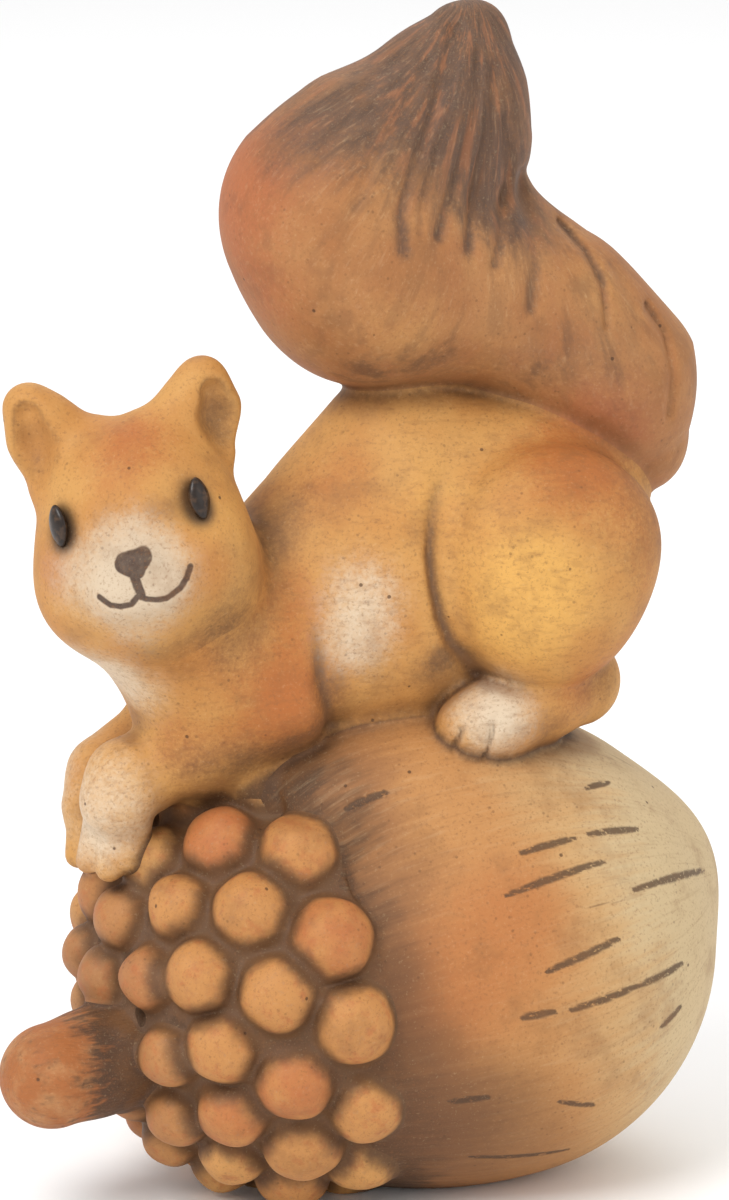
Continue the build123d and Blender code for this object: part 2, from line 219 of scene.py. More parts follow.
@dataclass
class Acorn:
    """Sizes of the lying acorn, in millimetres, and its distance field."""

    middle: tuple[float, float, float] = (12.0, 0.0, 38.87)
    tilt: float = 12.0
    radius: float = 40.4
    tip_length: float = 40.6
    tip: Egg = ((38.0, 0.0, 49.4), (14.2, 12.0, 13.0))
    #: low swelling under the squirrel's chest
    mound: Egg = ((-4.4, -8.5, 67.4), (25, 17, 14.5))
    swelling: float = 9.0
    back_length: float = 56.0
    #: distance from the nut's middle back to its cut-off end
    seat: float = 31.0
    cap_middle: tuple[float, float, float] = (-21.25, 0.0, 36.6)
    cap_radius: float = 34.6
    cap_depth: float = 33.2
    cap_skirt: float = 7.0
    cap_front_stretch: float = 2.4
    #: place along the cap, distance from its axis, count, angle of the first knob and radius
    rings: tuple[tuple[float, ...], ...] = (
        (1.4, 33.6, 14, 270.0, 7.0),
        (-9.3, 31.9, 14, 282.9, 6.95),
        (-19.0, 27.3, 14, 270.0, 6.2),
        (-26.3, 20.8, 10, 267.0, 5.7),
        (-31.2, 12.3, 6, 268.0, 5.1),
    )
    knob_seed: int = 40
    knob_turn: float = 1.3
    knob_shift: float = 0.5
    knob_sizes: tuple[float, float] = (0.95, 1.03)
    knob_dent: float = 0.32
    #: how closely the dents follow each other along x, y and z
    knob_waves: tuple[float, float, float] = (0.55, 0.5, 0.6)
    stem: tuple[tuple[float, ...], ...] = (
        (-49.0, -7.0, 27.6, 9.0),
        (-57.4, -9.5, 26.4, 8.6),
        (-65.4, -12.0, 25.4, 8.8),
    )
    stem_crease: float = 3.0
    #: drawn strokes: start and end along the nut, and the angle round it at both, in degrees
    marks: Rows = (
        (-2.2, 16.4, -61.6, -59.4), (2.5, 12.5, -52.8, -52.1), (15, 25.2, -51.6, -51),
        (19.9, 37.4, -68.5, -67.4), (0.7, 15, -81.4, -79.3), (3.3, 16.8, -92, -93),
        (16.8, 26.4, -93.1, -95), (19.5, 25, -109.1, -108.2), (-22.9, -15.4, -31.6, -31.9),
        (-5.2, 1, -90.3, -91.2), (-1, 5.9, -116, -122), (18.1, 23.5, -37.6, -34.3),
        (-18.9, -12.2, -108.9, -109.6), (-16, 2, -131, -139), (-8, 12, 40, 42), (2, 24, 55, 54),
        (14, 34, 68, 70), (-4, 17, 82, 81), (8, 28, 97, 99), (-16, 0, 112, 110), (16, 30, 30, 29),
        (24, 37, 112, 113),
    )
    mark_widths: tuple[float, float] = (0.25, 0.45)
    #: orange sprays on the nut, and brown sprays of painted shade low on it and beside the cap: x, y, z from
    #: its crown, radius and strength
    glow: Rows = (
        (-1, -37.7, -28, 14, 0.7), (-8, -38.9, -39, 12, 0.6), (4, -38, -22, 9, 0.5),
    )
    dusk: Rows = (
        (-8, -34, -60, 15, 0.9), (8, -28, -68, 14, 0.5), (-17.5, -36, -33, 8, 0.85), (-20, -34, -20, 7, 0.8),
        (-14, -37, -45, 8, 0.7), (4, -37, -54, 8, 0.3),
    )
    streak_width: float = 1.5
    streak_length: float = 15.0
    #: least distance from the axis that the grain is worked out with
    grain_core: float = 4
    #: boxes outside which a piece is not measured
    rooms: dict[str, Room] = field(default_factory=lambda: {
        "acorn_nut": ((-40, -50, -20), (70, 50, 90)),
        "acorn_cap": ((-70, -50, -20), (10, 50, 90)),
        "acorn_stem": ((-90, -35, 5), (-30, 15, 50)),
    })
    along: Array = field(init=False)
    above: Array = field(init=False)
    placed: list[list[tuple[Array, float]]] = field(init=False)

    def __post_init__(self) -> None:
        """Works out the acorn's own axes and the places of its knobs."""
        turn = math.radians(self.tilt)
        self.along = np.array([math.cos(turn), 0, math.sin(turn)], np.float32)
        self.above = np.array([-math.sin(turn), 0, math.cos(turn)], np.float32)
        self.placed = [self.knob_places(number) for number in range(len(self.rings))]

    def along_and_out(self, points: Array, middle: Array) -> tuple[Array, Array]:
        """Place along the axis and distance from it.

        Args:
            points: points in the row frame, in millimetres.
            middle: a point on the axis.

        Returns:
            The place along the axis from the middle, and the distance from the axis.
        """
        offset = points - np.float32(middle)
        place = offset @ self.along
        return place, np.sqrt(np.maximum((offset**2).sum(1) - place**2, 0))

    def nut(self, points: Array) -> Array:
        """Distance to the nut, cut off at its seat.

        Args:
            points: points in the row frame, in millimetres.

        Returns:
            The distance of every point, negative inside.
        """
        place, out = self.along_and_out(points, self.middle)
        length = np.where(place > 0, self.tip_length, self.back_length).astype(np.float32)
        form = dome(place, out, length, self.radius)
        for swelling in (self.tip, self.mound):
            form = melt(form, egg(points, *swelling), self.swelling)
        return np.maximum(form, -place - self.seat)

    def cap(self, points: Array) -> Array:
        """Distance to the dome that carries the knobs.

        Args:
            points: points in the row frame, in millimetres.

        Returns:
            The distance of every point, negative inside.
        """
        place, out = self.along_and_out(points, self.cap_middle)
        front = self.cap_depth * self.cap_front_stretch
        length = np.where(place < 0, self.cap_depth, front).astype(np.float32)
        return np.maximum(dome(place, out, length, self.cap_radius), place - self.cap_skirt)

    def knob_places(self, number: int) -> list[tuple[Array, float]]:
        """Places one ring's knobs, a little uneven as if set by hand.

        Args:
            number: the ring, from the cap's edge.

        Returns:
            The middle and the radius of each knob.
        """
        place, out, count, first, radius = self.rings[number]
        uneven = np.random.default_rng(self.knob_seed + number)
        knobs = []
        for turn in range(int(count)):
            angle = math.radians(first + 360 * turn / count + uneven.uniform(-self.knob_turn, self.knob_turn))
            outward = self.above * math.cos(angle) + np.array([0, math.sin(angle), 0])
            shift = place + uneven.uniform(-self.knob_shift, self.knob_shift)
            middle = np.array(self.cap_middle) + self.along * shift + outward * out
            knobs.append((middle, radius * uneven.uniform(*self.knob_sizes)))
        return knobs

    def knobs(self, points: Array, number: int) -> Array:
        """Distance to one ring of knobs, slightly dented all over.

        Args:
            points: points in the row frame, in millimetres.
            number: the ring, from the cap's edge.

        Returns:
            The distance of every point, negative inside.
        """
        form = np.full(len(points), OUT_OF_REACH, np.float32)
        for middle, radius in self.placed[number]:
            form = np.minimum(form, ball(points, middle, radius))
        (x, y, z), (one, two, three) = points.T, self.knob_waves
        return form + self.knob_dent * np.sin(x * one) * np.sin(y * two) * np.sin(z * three + 1)

    def forms(self, points: Array) -> dict[str, Array]:
        """Distances to each of the acorn's pieces.

        Args:
            points: points in the row frame, in millimetres.

        Returns:
            A distance for every point, by the name of the CAD node.
        """
        pieces: dict[str, Field] = {
            "acorn_nut": self.nut,
            "acorn_cap": self.cap,
            "acorn_stem": lambda p: chain(p, self.stem, self.stem_crease),
        }
        found = {name: within(points, *self.rooms[name], form) for name, form in pieces.items()}
        for number in range(len(self.rings)):
            found[f"cap_knobs_ring_{number + 1}"] = within(
                points, *self.rooms["acorn_cap"], lambda p, n=number: self.knobs(p, n))
        return found

    def grain(self, points: Array) -> Array:
        """Places on the nut measured round it and along it, so that streaks run from cap to tip.

        Args:
            points: points in the row frame, in millimetres.

        Returns:
            Rows of three numbers, in streak widths across and streak lengths along.
        """
        place, out = self.along_and_out(points, self.middle)
        offset = points - np.float32(self.middle)
        outward = (offset - place[:, None] * self.along) / np.maximum(out, self.grain_core)[:, None]
        return outward * self.radius / self.streak_width + self.along * (place[:, None] / self.streak_length)

    def streaks(self, points: Array) -> Array:
        """How near a point is to one of the long strokes along the nut.

        Args:
            points: points in the row frame, in millimetres.

        Returns:
            A share for every point, 1 at a stroke.
        """
        place, out = self.along_and_out(points, self.middle)
        offset = points - np.float32(self.middle)
        angle = np.degrees(np.arctan2(offset[:, 1], offset @ self.above))
        best = np.zeros(len(points), np.float32)
        least, swell = self.mark_widths
        for start, end, first, last in self.marks:
            share = np.clip((place - start) / (end - start), 0, 1)
            aside = (angle - (first + (last - first) * share) + 180) % 360 - 180
            beyond = np.maximum(np.maximum(start - place, place - end), 0)
            near = np.hypot(np.radians(aside) * out, beyond)
            wide = least + swell * np.sqrt(np.clip(4 * share * (1 - share), 0, 1))
            best = np.maximum(best, bell(near / wide))
        return best


@dataclass
class Skin:
    """Closed surface of a distance field, as vertices and four-cornered faces."""

    vertices: Array
    faces: Array
    #: halvings from the coarsest blocks to the finest cells
    halvings: ClassVar[int] = 3
    #: half a cube's diagonal in edges, then how far the field may understate or shift a distance
    half_diagonal: ClassVar[float] = 0.87
    steepest: ClassVar[float] = 1.25
    slack: ClassVar[float] = 0.4
    #: bits of a key for each axis, and what is added so that no cell is counted below zero
    key_bits: ClassVar[int] = 14
    key_shift: ClassVar[int] = 4096
    #: step of the slope by which vertices are settled, its least square and the longest move
    settling: ClassVar[tuple[float, float, float]] = (0.12, 0.25, 0.4)

    @classmethod
    def keys(cls, cells: Array) -> Array:
        """One number for each cell of the lattice."""
        cells = cells.astype(np.int64) + cls.key_shift
        return (cells[:, 0] << 2 * cls.key_bits) | (cells[:, 1] << cls.key_bits) | cells[:, 2]

    @classmethod
    def grown(cls, measure: Field, low: tuple[float, ...], high: tuple[float, ...], pitch: float) -> "Skin":
        """Finds the surface from coarse blocks down to a fine lattice.

        Args:
            measure: the distance field, for points in millimetres.
            low: lowest corner of the space to search.
            high: highest corner of that space.
            pitch: edge of the finest cells, in millimetres.

        Returns:
            The surface, one vertex to each cell that it crosses.
        """
        edge = 2**cls.halvings
        size = pitch * edge
        axes = [np.arange(math.floor(a / size), math.ceil(b / size) + 1) for a, b in zip(low, high)]
        blocks = np.stack(np.meshgrid(*axes, indexing="ij"), -1).reshape(-1, 3) * edge
        octants = np.array([(i, j, k) for i in (0, 1) for j in (0, 1) for k in (0, 1)])
        while edge > 1:
            middles = (blocks + edge / 2) * pitch
            reach = edge * pitch * cls.half_diagonal * cls.steepest + cls.slack
            blocks = blocks[np.abs(measure(middles.astype(np.float32))) < reach]
            edge //= 2
            blocks = (blocks[:, None, :] + octants[None] * edge).reshape(-1, 3)
        corners = (blocks[:, None, :] + octants[None]).reshape(-1, 3)
        _, first, back = np.unique(cls.keys(corners), return_index=True, return_inverse=True)
        values = measure((corners[first] * pitch).astype(np.float32))
        at_corner = values[back].reshape(-1, 8)
        crossed = (at_corner.min(1) < 0) & (at_corner.max(1) >= 0)
        blocks, at_corner = blocks[crossed], at_corner[crossed]
        order = np.argsort(cls.keys(blocks))
        blocks, at_corner = blocks[order], at_corner[order]
        return cls.netted(blocks, at_corner, octants, pitch)

    @classmethod
    def netted(cls, cells: Array, at_corner: Array, octants: Array, pitch: float) -> "Skin":
        """Puts a vertex in each crossed cell and a face over each crossed edge.

        Args:
            cells: the crossed cells, sorted by key.
            at_corner: the field at their eight corners.
            octants: the offsets of those corners.
            pitch: edge of a cell.

        Returns:
            The surface.
        """
        total = np.zeros((len(cells), 3))
        count = np.zeros(len(cells))
        pairs = [(a, b) for a in range(8) for b in range(a + 1, 8)
                 if np.abs(octants[a] - octants[b]).sum() == 1]
        for a, b in pairs:
            one, two = at_corner[:, a], at_corner[:, b]
            cross = (one < 0) != (two < 0)
            share = one[cross] / (one[cross] - two[cross])
            total[cross] += octants[a] + share[:, None] * (octants[b] - octants[a])
            count[cross] += 1
        vertices = (cells + total / count[:, None]) * pitch
        keys = cls.keys(cells)
        faces = []
        for axis in range(3):
            first, second = (axis + 1) % 3, (axis + 2) % 3
            far = [0, 0, 0]
            far[axis] = 1
            start = at_corner[:, 0]
            end = at_corner[:, int(np.argmax((octants == far).all(1)))]
            crossing = (start < 0) != (end < 0)
            around = []
            for down, left in ((0, 0), (1, 0), (1, 1), (0, 1)):
                neighbour = cells[crossing].copy()
                neighbour[:, first] -= down
                neighbour[:, second] -= left
                around.append(np.searchsorted(keys, cls.keys(neighbour)))
            quads = np.stack(around, 1)
            inward = start[crossing] >= 0
            quads[inward] = quads[inward][:, ::-1]
            faces.append(quads)
        return cls(vertices, np.concatenate(faces))

    def settle(self, measure: Field, steps: int = 3) -> None:
        """Moves the vertices onto the surface itself.

        Args:
            measure: the distance field.
            steps: how many times to move.
        """
        step, least, most = self.settling
        for _ in range(steps):
            points = self.vertices.astype(np.float32)
            slope = gradient(measure, points, step)
            size = np.maximum((slope**2).sum(1), least)
            move = np.clip(measure(points), -most, most) / size
            self.vertices = self.vertices - slope * move[:, None]


def gradient(measure: Field, points: Array, step: float) -> Array:
    """Slope of a distance field, from four samples round each point.

    Args:
        measure: the distance field.
        points: where to take the slope.
        step: how far the samples lie from the point.

    Returns:
        The slope as a vector for each point.
    """
    slope = np.zeros((len(points), 3))
    for corner in ((1, -1, -1), (-1, -1, 1), (-1, 1, -1), (1, 1, 1)):
        offset = np.float32(corner) * np.float32(step)
        slope += np.float32(corner) * measure(points + offset)[:, None]
    return slope / (4 * step)


def hue(red: int, green: int, blue: int) -> Paint:
    """Turns a paint as a painter reads it into linear light.

    Args:
        red: red, 0 to 255.
        green: green, 0 to 255.
        blue: blue, 0 to 255.

    Returns:
        The colour, with its alpha.
    """
    linear = [((v / 255 + 0.055) / 1.055) ** 2.4 if v > 10 else v / 255 / 12.92 for v in (red, green, blue)]
    return (*(PAINT_DEPTH * part for part in linear), 1.0)


class Value:
    """A number on its way through a shader, so that shader sums read as sums."""

    def __init__(self, graph: "Graph", socket: bpy.types.NodeSocket) -> None:
        """Wraps an output socket."""
        self.graph, self.socket = graph, socket

    def _sum(self, operation: str, *terms: "Value | float") -> "Value":
        """Adds one Math node over the terms."""
        values = {i: t.socket if isinstance(t, Value) else t for i, t in enumerate(terms)}
        return self.graph.value("ShaderNodeMath", {"operation": operation}, values)

    def __add__(self, other: "Value | float") -> "Value":
        """Sum."""
        return self._sum("ADD", self, other)

    __radd__ = __add__

    def __sub__(self, other: "Value | float") -> "Value":
        """Difference."""
        return self._sum("SUBTRACT", self, other)

    def __rsub__(self, other: float) -> "Value":
        """Difference from a plain number."""
        return self._sum("SUBTRACT", other, self)

    def __mul__(self, other: "Value | float") -> "Value":
        """Product."""
        return self._sum("MULTIPLY", self, other)

    def lower(self, other: "Value | float") -> "Value":
        """The smaller of the two."""
        return self._sum("MINIMUM", self, other)

    def higher(self, other: "Value | float") -> "Value":
        """The larger of the two."""
        return self._sum("MAXIMUM", self, other)

    def ramp(self, start: float, end: float) -> "Value":
        """Smooth step from 0 at start to 1 at end, which may lie below the start."""
        return self.graph.value("ShaderNodeMapRange", {"interpolation_type": "SMOOTHSTEP"},
                                {"Value": self.socket, "From Min": start, "From Max": end})


class Graph:
    """Node tree of one finish, with one way to add any node."""

    def __init__(self, name: str) -> None:
        """Starts an empty material.

        Args:
            name: the material's name.
        """
        self.material = bpy.data.materials.new(name)
        self.material.use_nodes = True
        self.tree = self.material.node_tree
        self.tree.nodes.clear()
        self.place = self.output("ShaderNodeVectorMath", {"operation": "SCALE"}, {
            0: self.output("ShaderNodeTexCoord", {}, {}, "Object"), "Scale": 1 / MM})

    def node(self, kind: str, settings: dict[str, object], values: dict[int | str, object]) -> bpy.types.Node:
        """Adds a node.

        Args:
            kind: the node's type.
            settings: its properties, set before its sockets are looked up.
            values: a plain value or a socket to link, by input name or number.

        Returns:
            The new node.
        """
        made = self.tree.nodes.new(kind)
        for key, setting in settings.items():
            setattr(made, key, setting)
        for key, given in values.items():
            if isinstance(given, Value):
                given = given.socket
            target = made.inputs[key]
            if isinstance(given, Socket):
                self.tree.links.new(given, target)
            else:
                target.default_value = given
        return made

    def output(self, kind: str, settings: dict[str, object], values: dict[int | str, object],
               name: int | str = 0) -> Socket:
        """Adds a node and gives one of its outputs."""
        return self.node(kind, settings, values).outputs[name]

    def value(self, kind: str, settings: dict[str, object], values: dict[int | str, object],
              name: int | str = 0) -> Value:
        """Adds a node and gives one of its outputs as a number."""
        return Value(self, self.output(kind, settings, values, name))

    def mask(self, name: str) -> Value:
        """A mask that the sculpture carries on its vertices."""
        return self.value("ShaderNodeAttribute", {"attribute_name": name}, {}, "Fac")

    def vector(self, name: str) -> Socket:
        """A direction or place that the sculpture carries on its vertices."""
        return self.output("ShaderNodeAttribute", {"attribute_name": name}, {}, "Vector")

    def stretched(self, vector: Socket, scale: tuple[float, float, float]) -> Socket:
        """A vector scaled differently along each axis."""
        return self.output("ShaderNodeVectorMath", {"operation": "MULTIPLY"}, {0: vector, 1: scale})

    def offset(self, place: Socket, start: tuple[float, ...]) -> Socket:
        """The way from a fixed point to a place."""
        return self.output("ShaderNodeVectorMath", {"operation": "SUBTRACT"}, {0: place, 1: start})

    def along(self, vector: Socket, axis: tuple[float, ...]) -> Value:
        """How far a vector reaches along an axis."""
        return self.value("ShaderNodeVectorMath", {"operation": "DOT_PRODUCT"}, {0: vector, 1: axis}, "Value")

    def noise(self, size: float, detail: float = 3, rough: float = 0.55,
              vector: Socket | None = None) -> Value:
        """Soft noise whose patches are about that many millimetres across."""
        return self.value("ShaderNodeTexNoise", {}, {
            "Vector": vector or self.place, "Scale": 1 / size, "Detail": detail, "Roughness": rough})

    def uneven(self, size: float, detail: float = 3, rough: float = 0.55,
               vector: Socket | None = None) -> Value:
        """Soft noise that is zero in the mean."""
        return self.noise(size, detail, rough, vector) - 0.5

    def dots(self, size: float, shift: float = 0.0) -> Value:
        """Distance to scattered points, in shares of their spacing."""
        place = self.output("ShaderNodeVectorMath", {"operation": "ADD"}, {0: self.place, 1: (shift,) * 3})
        return self.value("ShaderNodeTexVoronoi", {}, {"Vector": place, "Scale": 1 / size}, "Distance")

    def to_segment(self, start: tuple[float, ...], end: tuple[float, ...], place: Socket) -> Value:
        """Distance from a place to a short straight line.

        Args:
            start: one end of the line, in millimetres.
            end: the other end.
            place: where to measure.

        Returns:
            The distance in millimetres.
        """
        path = Vector(end) - Vector(start)
        offset = self.offset(place, start)
        share = self.along(offset, path / path.length_squared).higher(0.0).lower(1.0)
        foot = self.output("ShaderNodeVectorMath", {"operation": "SCALE"}, {0: path, "Scale": share})
        return self.value("ShaderNodeVectorMath", {"operation": "DISTANCE"}, {0: offset, 1: foot}, "Value")

    def mix(self, share: Value | float, one: object, two: object) -> Socket:
        """Mixes two colours."""
        return self.output("ShaderNodeMix", {"data_type": "RGBA"}, {0: share, 6: one, 7: two}, 2)

    def end(self, colour: Socket, rough: Value | float, height: Value | None = None,
            relief: float = 0.0, coat: float = 0.0) -> bpy.types.Material:
        """Puts the surface together.

        Args:
            colour: the base colour.
            rough: the roughness.
            height: the fine relief, in millimetres, or none.
            relief: how strongly the relief shows.
            coat: weight of a clear coat.

        Returns:
            The finished material.
        """
        values: dict[int | str, object] = {"Base Color": colour, "Roughness": rough,
                                           "Specular IOR Level": 0.32, "Coat Weight": coat}
        if height is not None:
            values["Normal"] = self.output("ShaderNodeBump", {}, {
                "Strength": relief, "Distance": MM, "Height": height})
        surface = self.output("ShaderNodeBsdfPrincipled", {}, values)
        self.node("ShaderNodeOutputMaterial", {}, {"Surface": surface})
        return self.material


@dataclass(frozen=True)
class Terracotta:
    """What all painted surfaces share: grain, pinholes, and painted shade in the creases, the hollows and
    along the seams between pieces.
    """

    grain_size: float = 0.55
    speck_size: float = 1.5
    pinhole_size: float = 7.0
    # dark of the painted shade in creases and seams, also the colour of the specks and pinholes
    shade_and_specks: Paint = hue(78, 50, 30)
    # darker tone of blotches, grain and brush marks, also laid as painted shade in the hollows
    soot_and_shade: Paint = hue(142, 96, 56)
    dust: Paint = hue(236, 206, 160)

    def finished(self, graph: Graph, colour: Socket, shade_and_specks: float = 1.0,
                 rough: float = 0.62, marks: Value | None = None) -> bpy.types.Material:
        """Lays grain, specks, pinholes and painted shade in creases, hollows and seams over a painted colour.

        Args:
            graph: the finish's node tree.
            colour: the paint.
            shade_and_specks: strength of the painted shade in creases and hollows.
            rough: mean roughness.
            marks: relief of brush marks or strands, if any.

        Returns:
            The finished material.
        """
        blotch = graph.noise(9.0, 4, 0.65)
        colour = graph.mix(blotch.ramp(0.48, 0.72) * 0.34, colour, self.soot_and_shade)
        ragged = graph.uneven(1.8, 4, 0.75) * 0.5
        # painted shade in the hollows, then in the creases and along the seams to other pieces
        hollow = (graph.mask("hollow") + ragged * 0.5).ramp(0.20, 0.95)
        colour = graph.mix(hollow * (0.50 * shade_and_specks), colour, self.soot_and_shade)
        crease = graph.mask("crease").higher(graph.mask("seam"))
        colour = graph.mix((crease + ragged).ramp(0.20, 0.90) * (0.90 * shade_and_specks), colour, self.shade_and_specks)
        grain = graph.noise(self.grain_size, 2, 0.7)
        colour = graph.mix(grain.ramp(0.56, 0.80) * 0.16, colour, self.dust)
        colour = graph.mix(grain.ramp(0.48, 0.27) * 0.42, colour, self.soot_and_shade)
        specks = graph.dots(self.speck_size).ramp(0.22, 0.10) * graph.noise(5.0).ramp(0.46, 0.62)
        colour = graph.mix(specks * 0.35, colour, self.shade_and_specks)
        holes = graph.dots(self.pinhole_size, 3.7).ramp(0.055, 0.03)
        colour = graph.mix(holes * 0.75, colour, self.shade_and_specks)
        height = grain * 0.05 - holes * 0.22 + graph.noise(1.6, 3) * 0.06
        if marks is not None:
            height = height + marks
        return graph.end(colour, (grain - 0.5) * 0.25 + rough, height, 0.55)


class Slot(Enum):
    """The record's material slots."""

    NUT = "nut_paint"
    CAP = "cap_paint"
    KNOBS = "knob_paint"
    STEM = "stem_paint"
    FUR = "fur_paint"
    FACE = "face_paint"
    TAIL = "tail_paint"
    EYES = "eye_gloss"


@dataclass(frozen=True)
class NutPaint(Terracotta):
    """Brown at the cap, partly painted shade under its rim, orange and then tan along the nut, and bare beige
    at the tip, with dark streaks and painted shade on its lower side.
    """

    # brown near the cap and the band after it: partly the nut's own colour, partly painted shade under the
    # cap
    seat: Paint = hue(94, 66, 44)
    shade: Paint = hue(166, 114, 70)
    warm: Paint = hue(202, 144, 86)
    tan: Paint = hue(212, 170, 116)
    tip: Paint = hue(216, 190, 146)
    glow: Paint = hue(190, 116, 62)
    # brown of the painted shade low on the nut and beside the cap
    dusk: Paint = hue(116, 78, 50)
    streak: Paint = hue(84, 60, 42)

    def banded(self, acorn: Acorn) -> bpy.types.Material:
        """Builds the material.

        Args:
            acorn: gives the nut's middle and axis.

        Returns:
            The material.
        """
        graph = Graph(Slot.NUT.value)
        place = graph.along(graph.offset(graph.place, acorn.middle), acorn.along.tolist())
        grain = graph.vector("grain")
        strands = graph.uneven(0.9, 3, 0.6, grain)
        ragged = graph.uneven(1.3, 4, 0.75) * 0.8
        place = place + strands * 14 + graph.uneven(12.0, 4, 0.65) * 14
        blush, dark = graph.mask("blush"), graph.mask("dark")
        # browner towards the cap: partly the nut's own colour, partly painted shade
        colour = graph.mix(place.ramp(-27, -17), self.seat, self.shade)
        colour = graph.mix(place.ramp(-20, -6), colour, self.warm)
        colour = graph.mix((place + blush * -8).ramp(-4, 14) * 0.9, colour, self.tan)
        colour = graph.mix(place.ramp(10, 26), colour, self.tip)
        brushed = graph.noise(0.6, 3, 0.6, grain)
        colour = graph.mix(brushed.ramp(0.52, 0.72) * 0.12, colour, self.dust)
        colour = graph.mix(brushed.ramp(0.46, 0.28) * 0.20, colour, self.soot_and_shade)
        colour = graph.mix((blush + ragged * blush).ramp(0.05, 1.0) * 0.8, colour, self.glow)
        # painted shade where the dusk sprays lie
        colour = graph.mix((dark + ragged * 0.5 * dark).ramp(0.05, 1.0) * 0.85, colour, self.dusk)
        cuts = graph.noise(1.4, 2, 0.6, grain).ramp(0.70, 0.76) * place.ramp(-14, 2) * 0.6
        broken = graph.noise(0.8, 3, 0.7, graph.stretched(graph.place, (0.5, 1.0, 1.0)))
        drawn = graph.mask("streak") * (broken.ramp(0.28, 0.50) * 0.8 + 0.35)
        cuts = cuts.higher(drawn.ramp(0.2, 0.8))
        colour = graph.mix(cuts * 0.85, colour, self.streak)
        return self.finished(graph, colour, rough=0.66, marks=cuts * -0.25 + brushed * 0.05)


@dataclass(frozen=True)
class KnobPaint(Terracotta):
    """Orange-brown knobs, some redder and some paler, browner towards the stem, with painted shade at their
    feet.
    """

    pale: Paint = hue(226, 168, 98)
    warm: Paint = hue(206, 144, 82)
    red: Paint = hue(192, 112, 64)
    brown: Paint = hue(160, 108, 74)
    # dark brown of the painted shade at the knobs' feet
    web: Paint = hue(98, 70, 48)

    def made(self) -> bpy.types.Material:
        """Builds the material.

        Returns:
            The material.
        """
        graph = Graph(Slot.KNOBS.value)
        colour = graph.mix(graph.mask("tone").ramp(0.1, 0.55), self.pale, self.warm)
        tone = graph.mask("tone") + graph.uneven(4.0, 3) * 0.5
        colour = graph.mix(tone.ramp(0.70, 1.05) * 0.75, colour, self.red)
        dark = (graph.mask("dark") + graph.uneven(5.0, 3) * 0.3).ramp(0.35, 1.0)
        colour = graph.mix(dark * 0.7, colour, self.brown)
        colour = graph.mix(graph.noise(2.4, 4, 0.65).ramp(0.48, 0.7) * 0.6, colour, self.red)
        colour = graph.mix(graph.noise(1.1, 4, 0.7).ramp(0.52, 0.72) * 0.45, colour, self.brown)
        # painted shade where a knob meets the cap, the nut and its neighbours
        foot = (graph.mask("foot") + graph.uneven(2.0, 4, 0.7) * 0.6).ramp(0.0, 0.85)
        colour = graph.mix(foot * 0.92, colour, self.web)
        return self.finished(graph, colour, shade_and_specks=0.6)


@dataclass(frozen=True)
class CapPaint(Terracotta):
    """Dark brown between the knobs."""

    base: Paint = hue(116, 86, 64)
    deep: Paint = hue(92, 66, 46)

    def made(self) -> bpy.types.Material:
        """Builds the material.

        Returns:
            The material.
        """
        graph = Graph(Slot.CAP.value)
        colour = graph.mix(graph.noise(3.0, 4).ramp(0.35, 0.65), self.deep, self.base)
        return self.finished(graph, colour, shade_and_specks=0.35, rough=0.68)


@dataclass(frozen=True)
class StemPaint(Terracotta):
    """Red-brown stem with darker grooves, painted shade where it leaves the cap, and a lighter end."""

    base: Paint = hue(178, 108, 58)
    pale: Paint = hue(200, 146, 96)
    # dark of the painted shade where the stem leaves the cap
    root: Paint = hue(82, 58, 41)

    def made(self) -> bpy.types.Material:
        """Builds the material.

        Returns:
            The material.
        """
        graph = Graph(Slot.STEM.value)
        colour = graph.mix(graph.noise(5.0, 4).ramp(0.42, 0.68) * 0.7, self.base, self.pale)
        ribs = graph.noise(1.5, 3, 0.6, graph.stretched(graph.place, (0.2, 1.0, 1.0)))
        # painted shade towards the cap, together with the dark of the grooves between the ribs
        dark = graph.mask("dark") + (ribs - 0.5) * 1.4 + graph.uneven(2.5, 4) * 0.8
        colour = graph.mix(dark.ramp(0.0, 0.6) * 0.95, colour, self.root)
        return self.finished(graph, colour, shade_and_specks=1.1, marks=ribs * 0.8)


@dataclass(frozen=True)
class FurPaint(Terracotta):
    """Airbrushed fur: ochre with gold, red-brown and cream sprays, and dark sprays of painted shade in its
    creases and where it meets other pieces.
    """

    name: str = Slot.FUR.value
    base: Paint = hue(214, 158, 88)
    warm: Paint = hue(204, 142, 74)
    gold: Paint = hue(232, 176, 92)
    blush: Paint = hue(186, 107, 51)
    cream: Paint = hue(232, 212, 184)
    # dark of the painted shade in creases and where pieces meet
    dark: Paint = hue(104, 74, 52)

    def sprayed(self, graph: Graph) -> Socket:
        """Lays the sprays over each other, with speckled edges.

        Args:
            graph: the finish's node tree.

        Returns:
            The colour.
        """
        colour = graph.mix(graph.noise(15.0, 3).ramp(0.35, 0.65), self.base, self.warm)
        fleck = graph.uneven(0.8, 4, 0.75) * 1.2 + graph.uneven(4.0, 4, 0.7) * 0.9
        for name in ("gold", "blush", "dark", "cream"):
            mask = graph.mask(name)
            share = mask + fleck * (mask * (1.0 - mask)) * 2.4
            colour = graph.mix(share.ramp(0.02, 1.0) * 0.95, colour, getattr(self, name))
        return colour

    def made(self) -> bpy.types.Material:
        """Builds the material.

        Returns:
            The material.
        """
        graph = Graph(self.name)
        strokes = graph.noise(0.9, 3, 0.6, graph.stretched(graph.place, (0.3, 0.6, 1.0)))
        colour = self.sprayed(graph)
        colour = graph.mix(strokes.ramp(0.50, 0.34) * 0.22, colour, self.soot_and_shade)
        return self.finished(graph, colour, marks=strokes * 0.08)


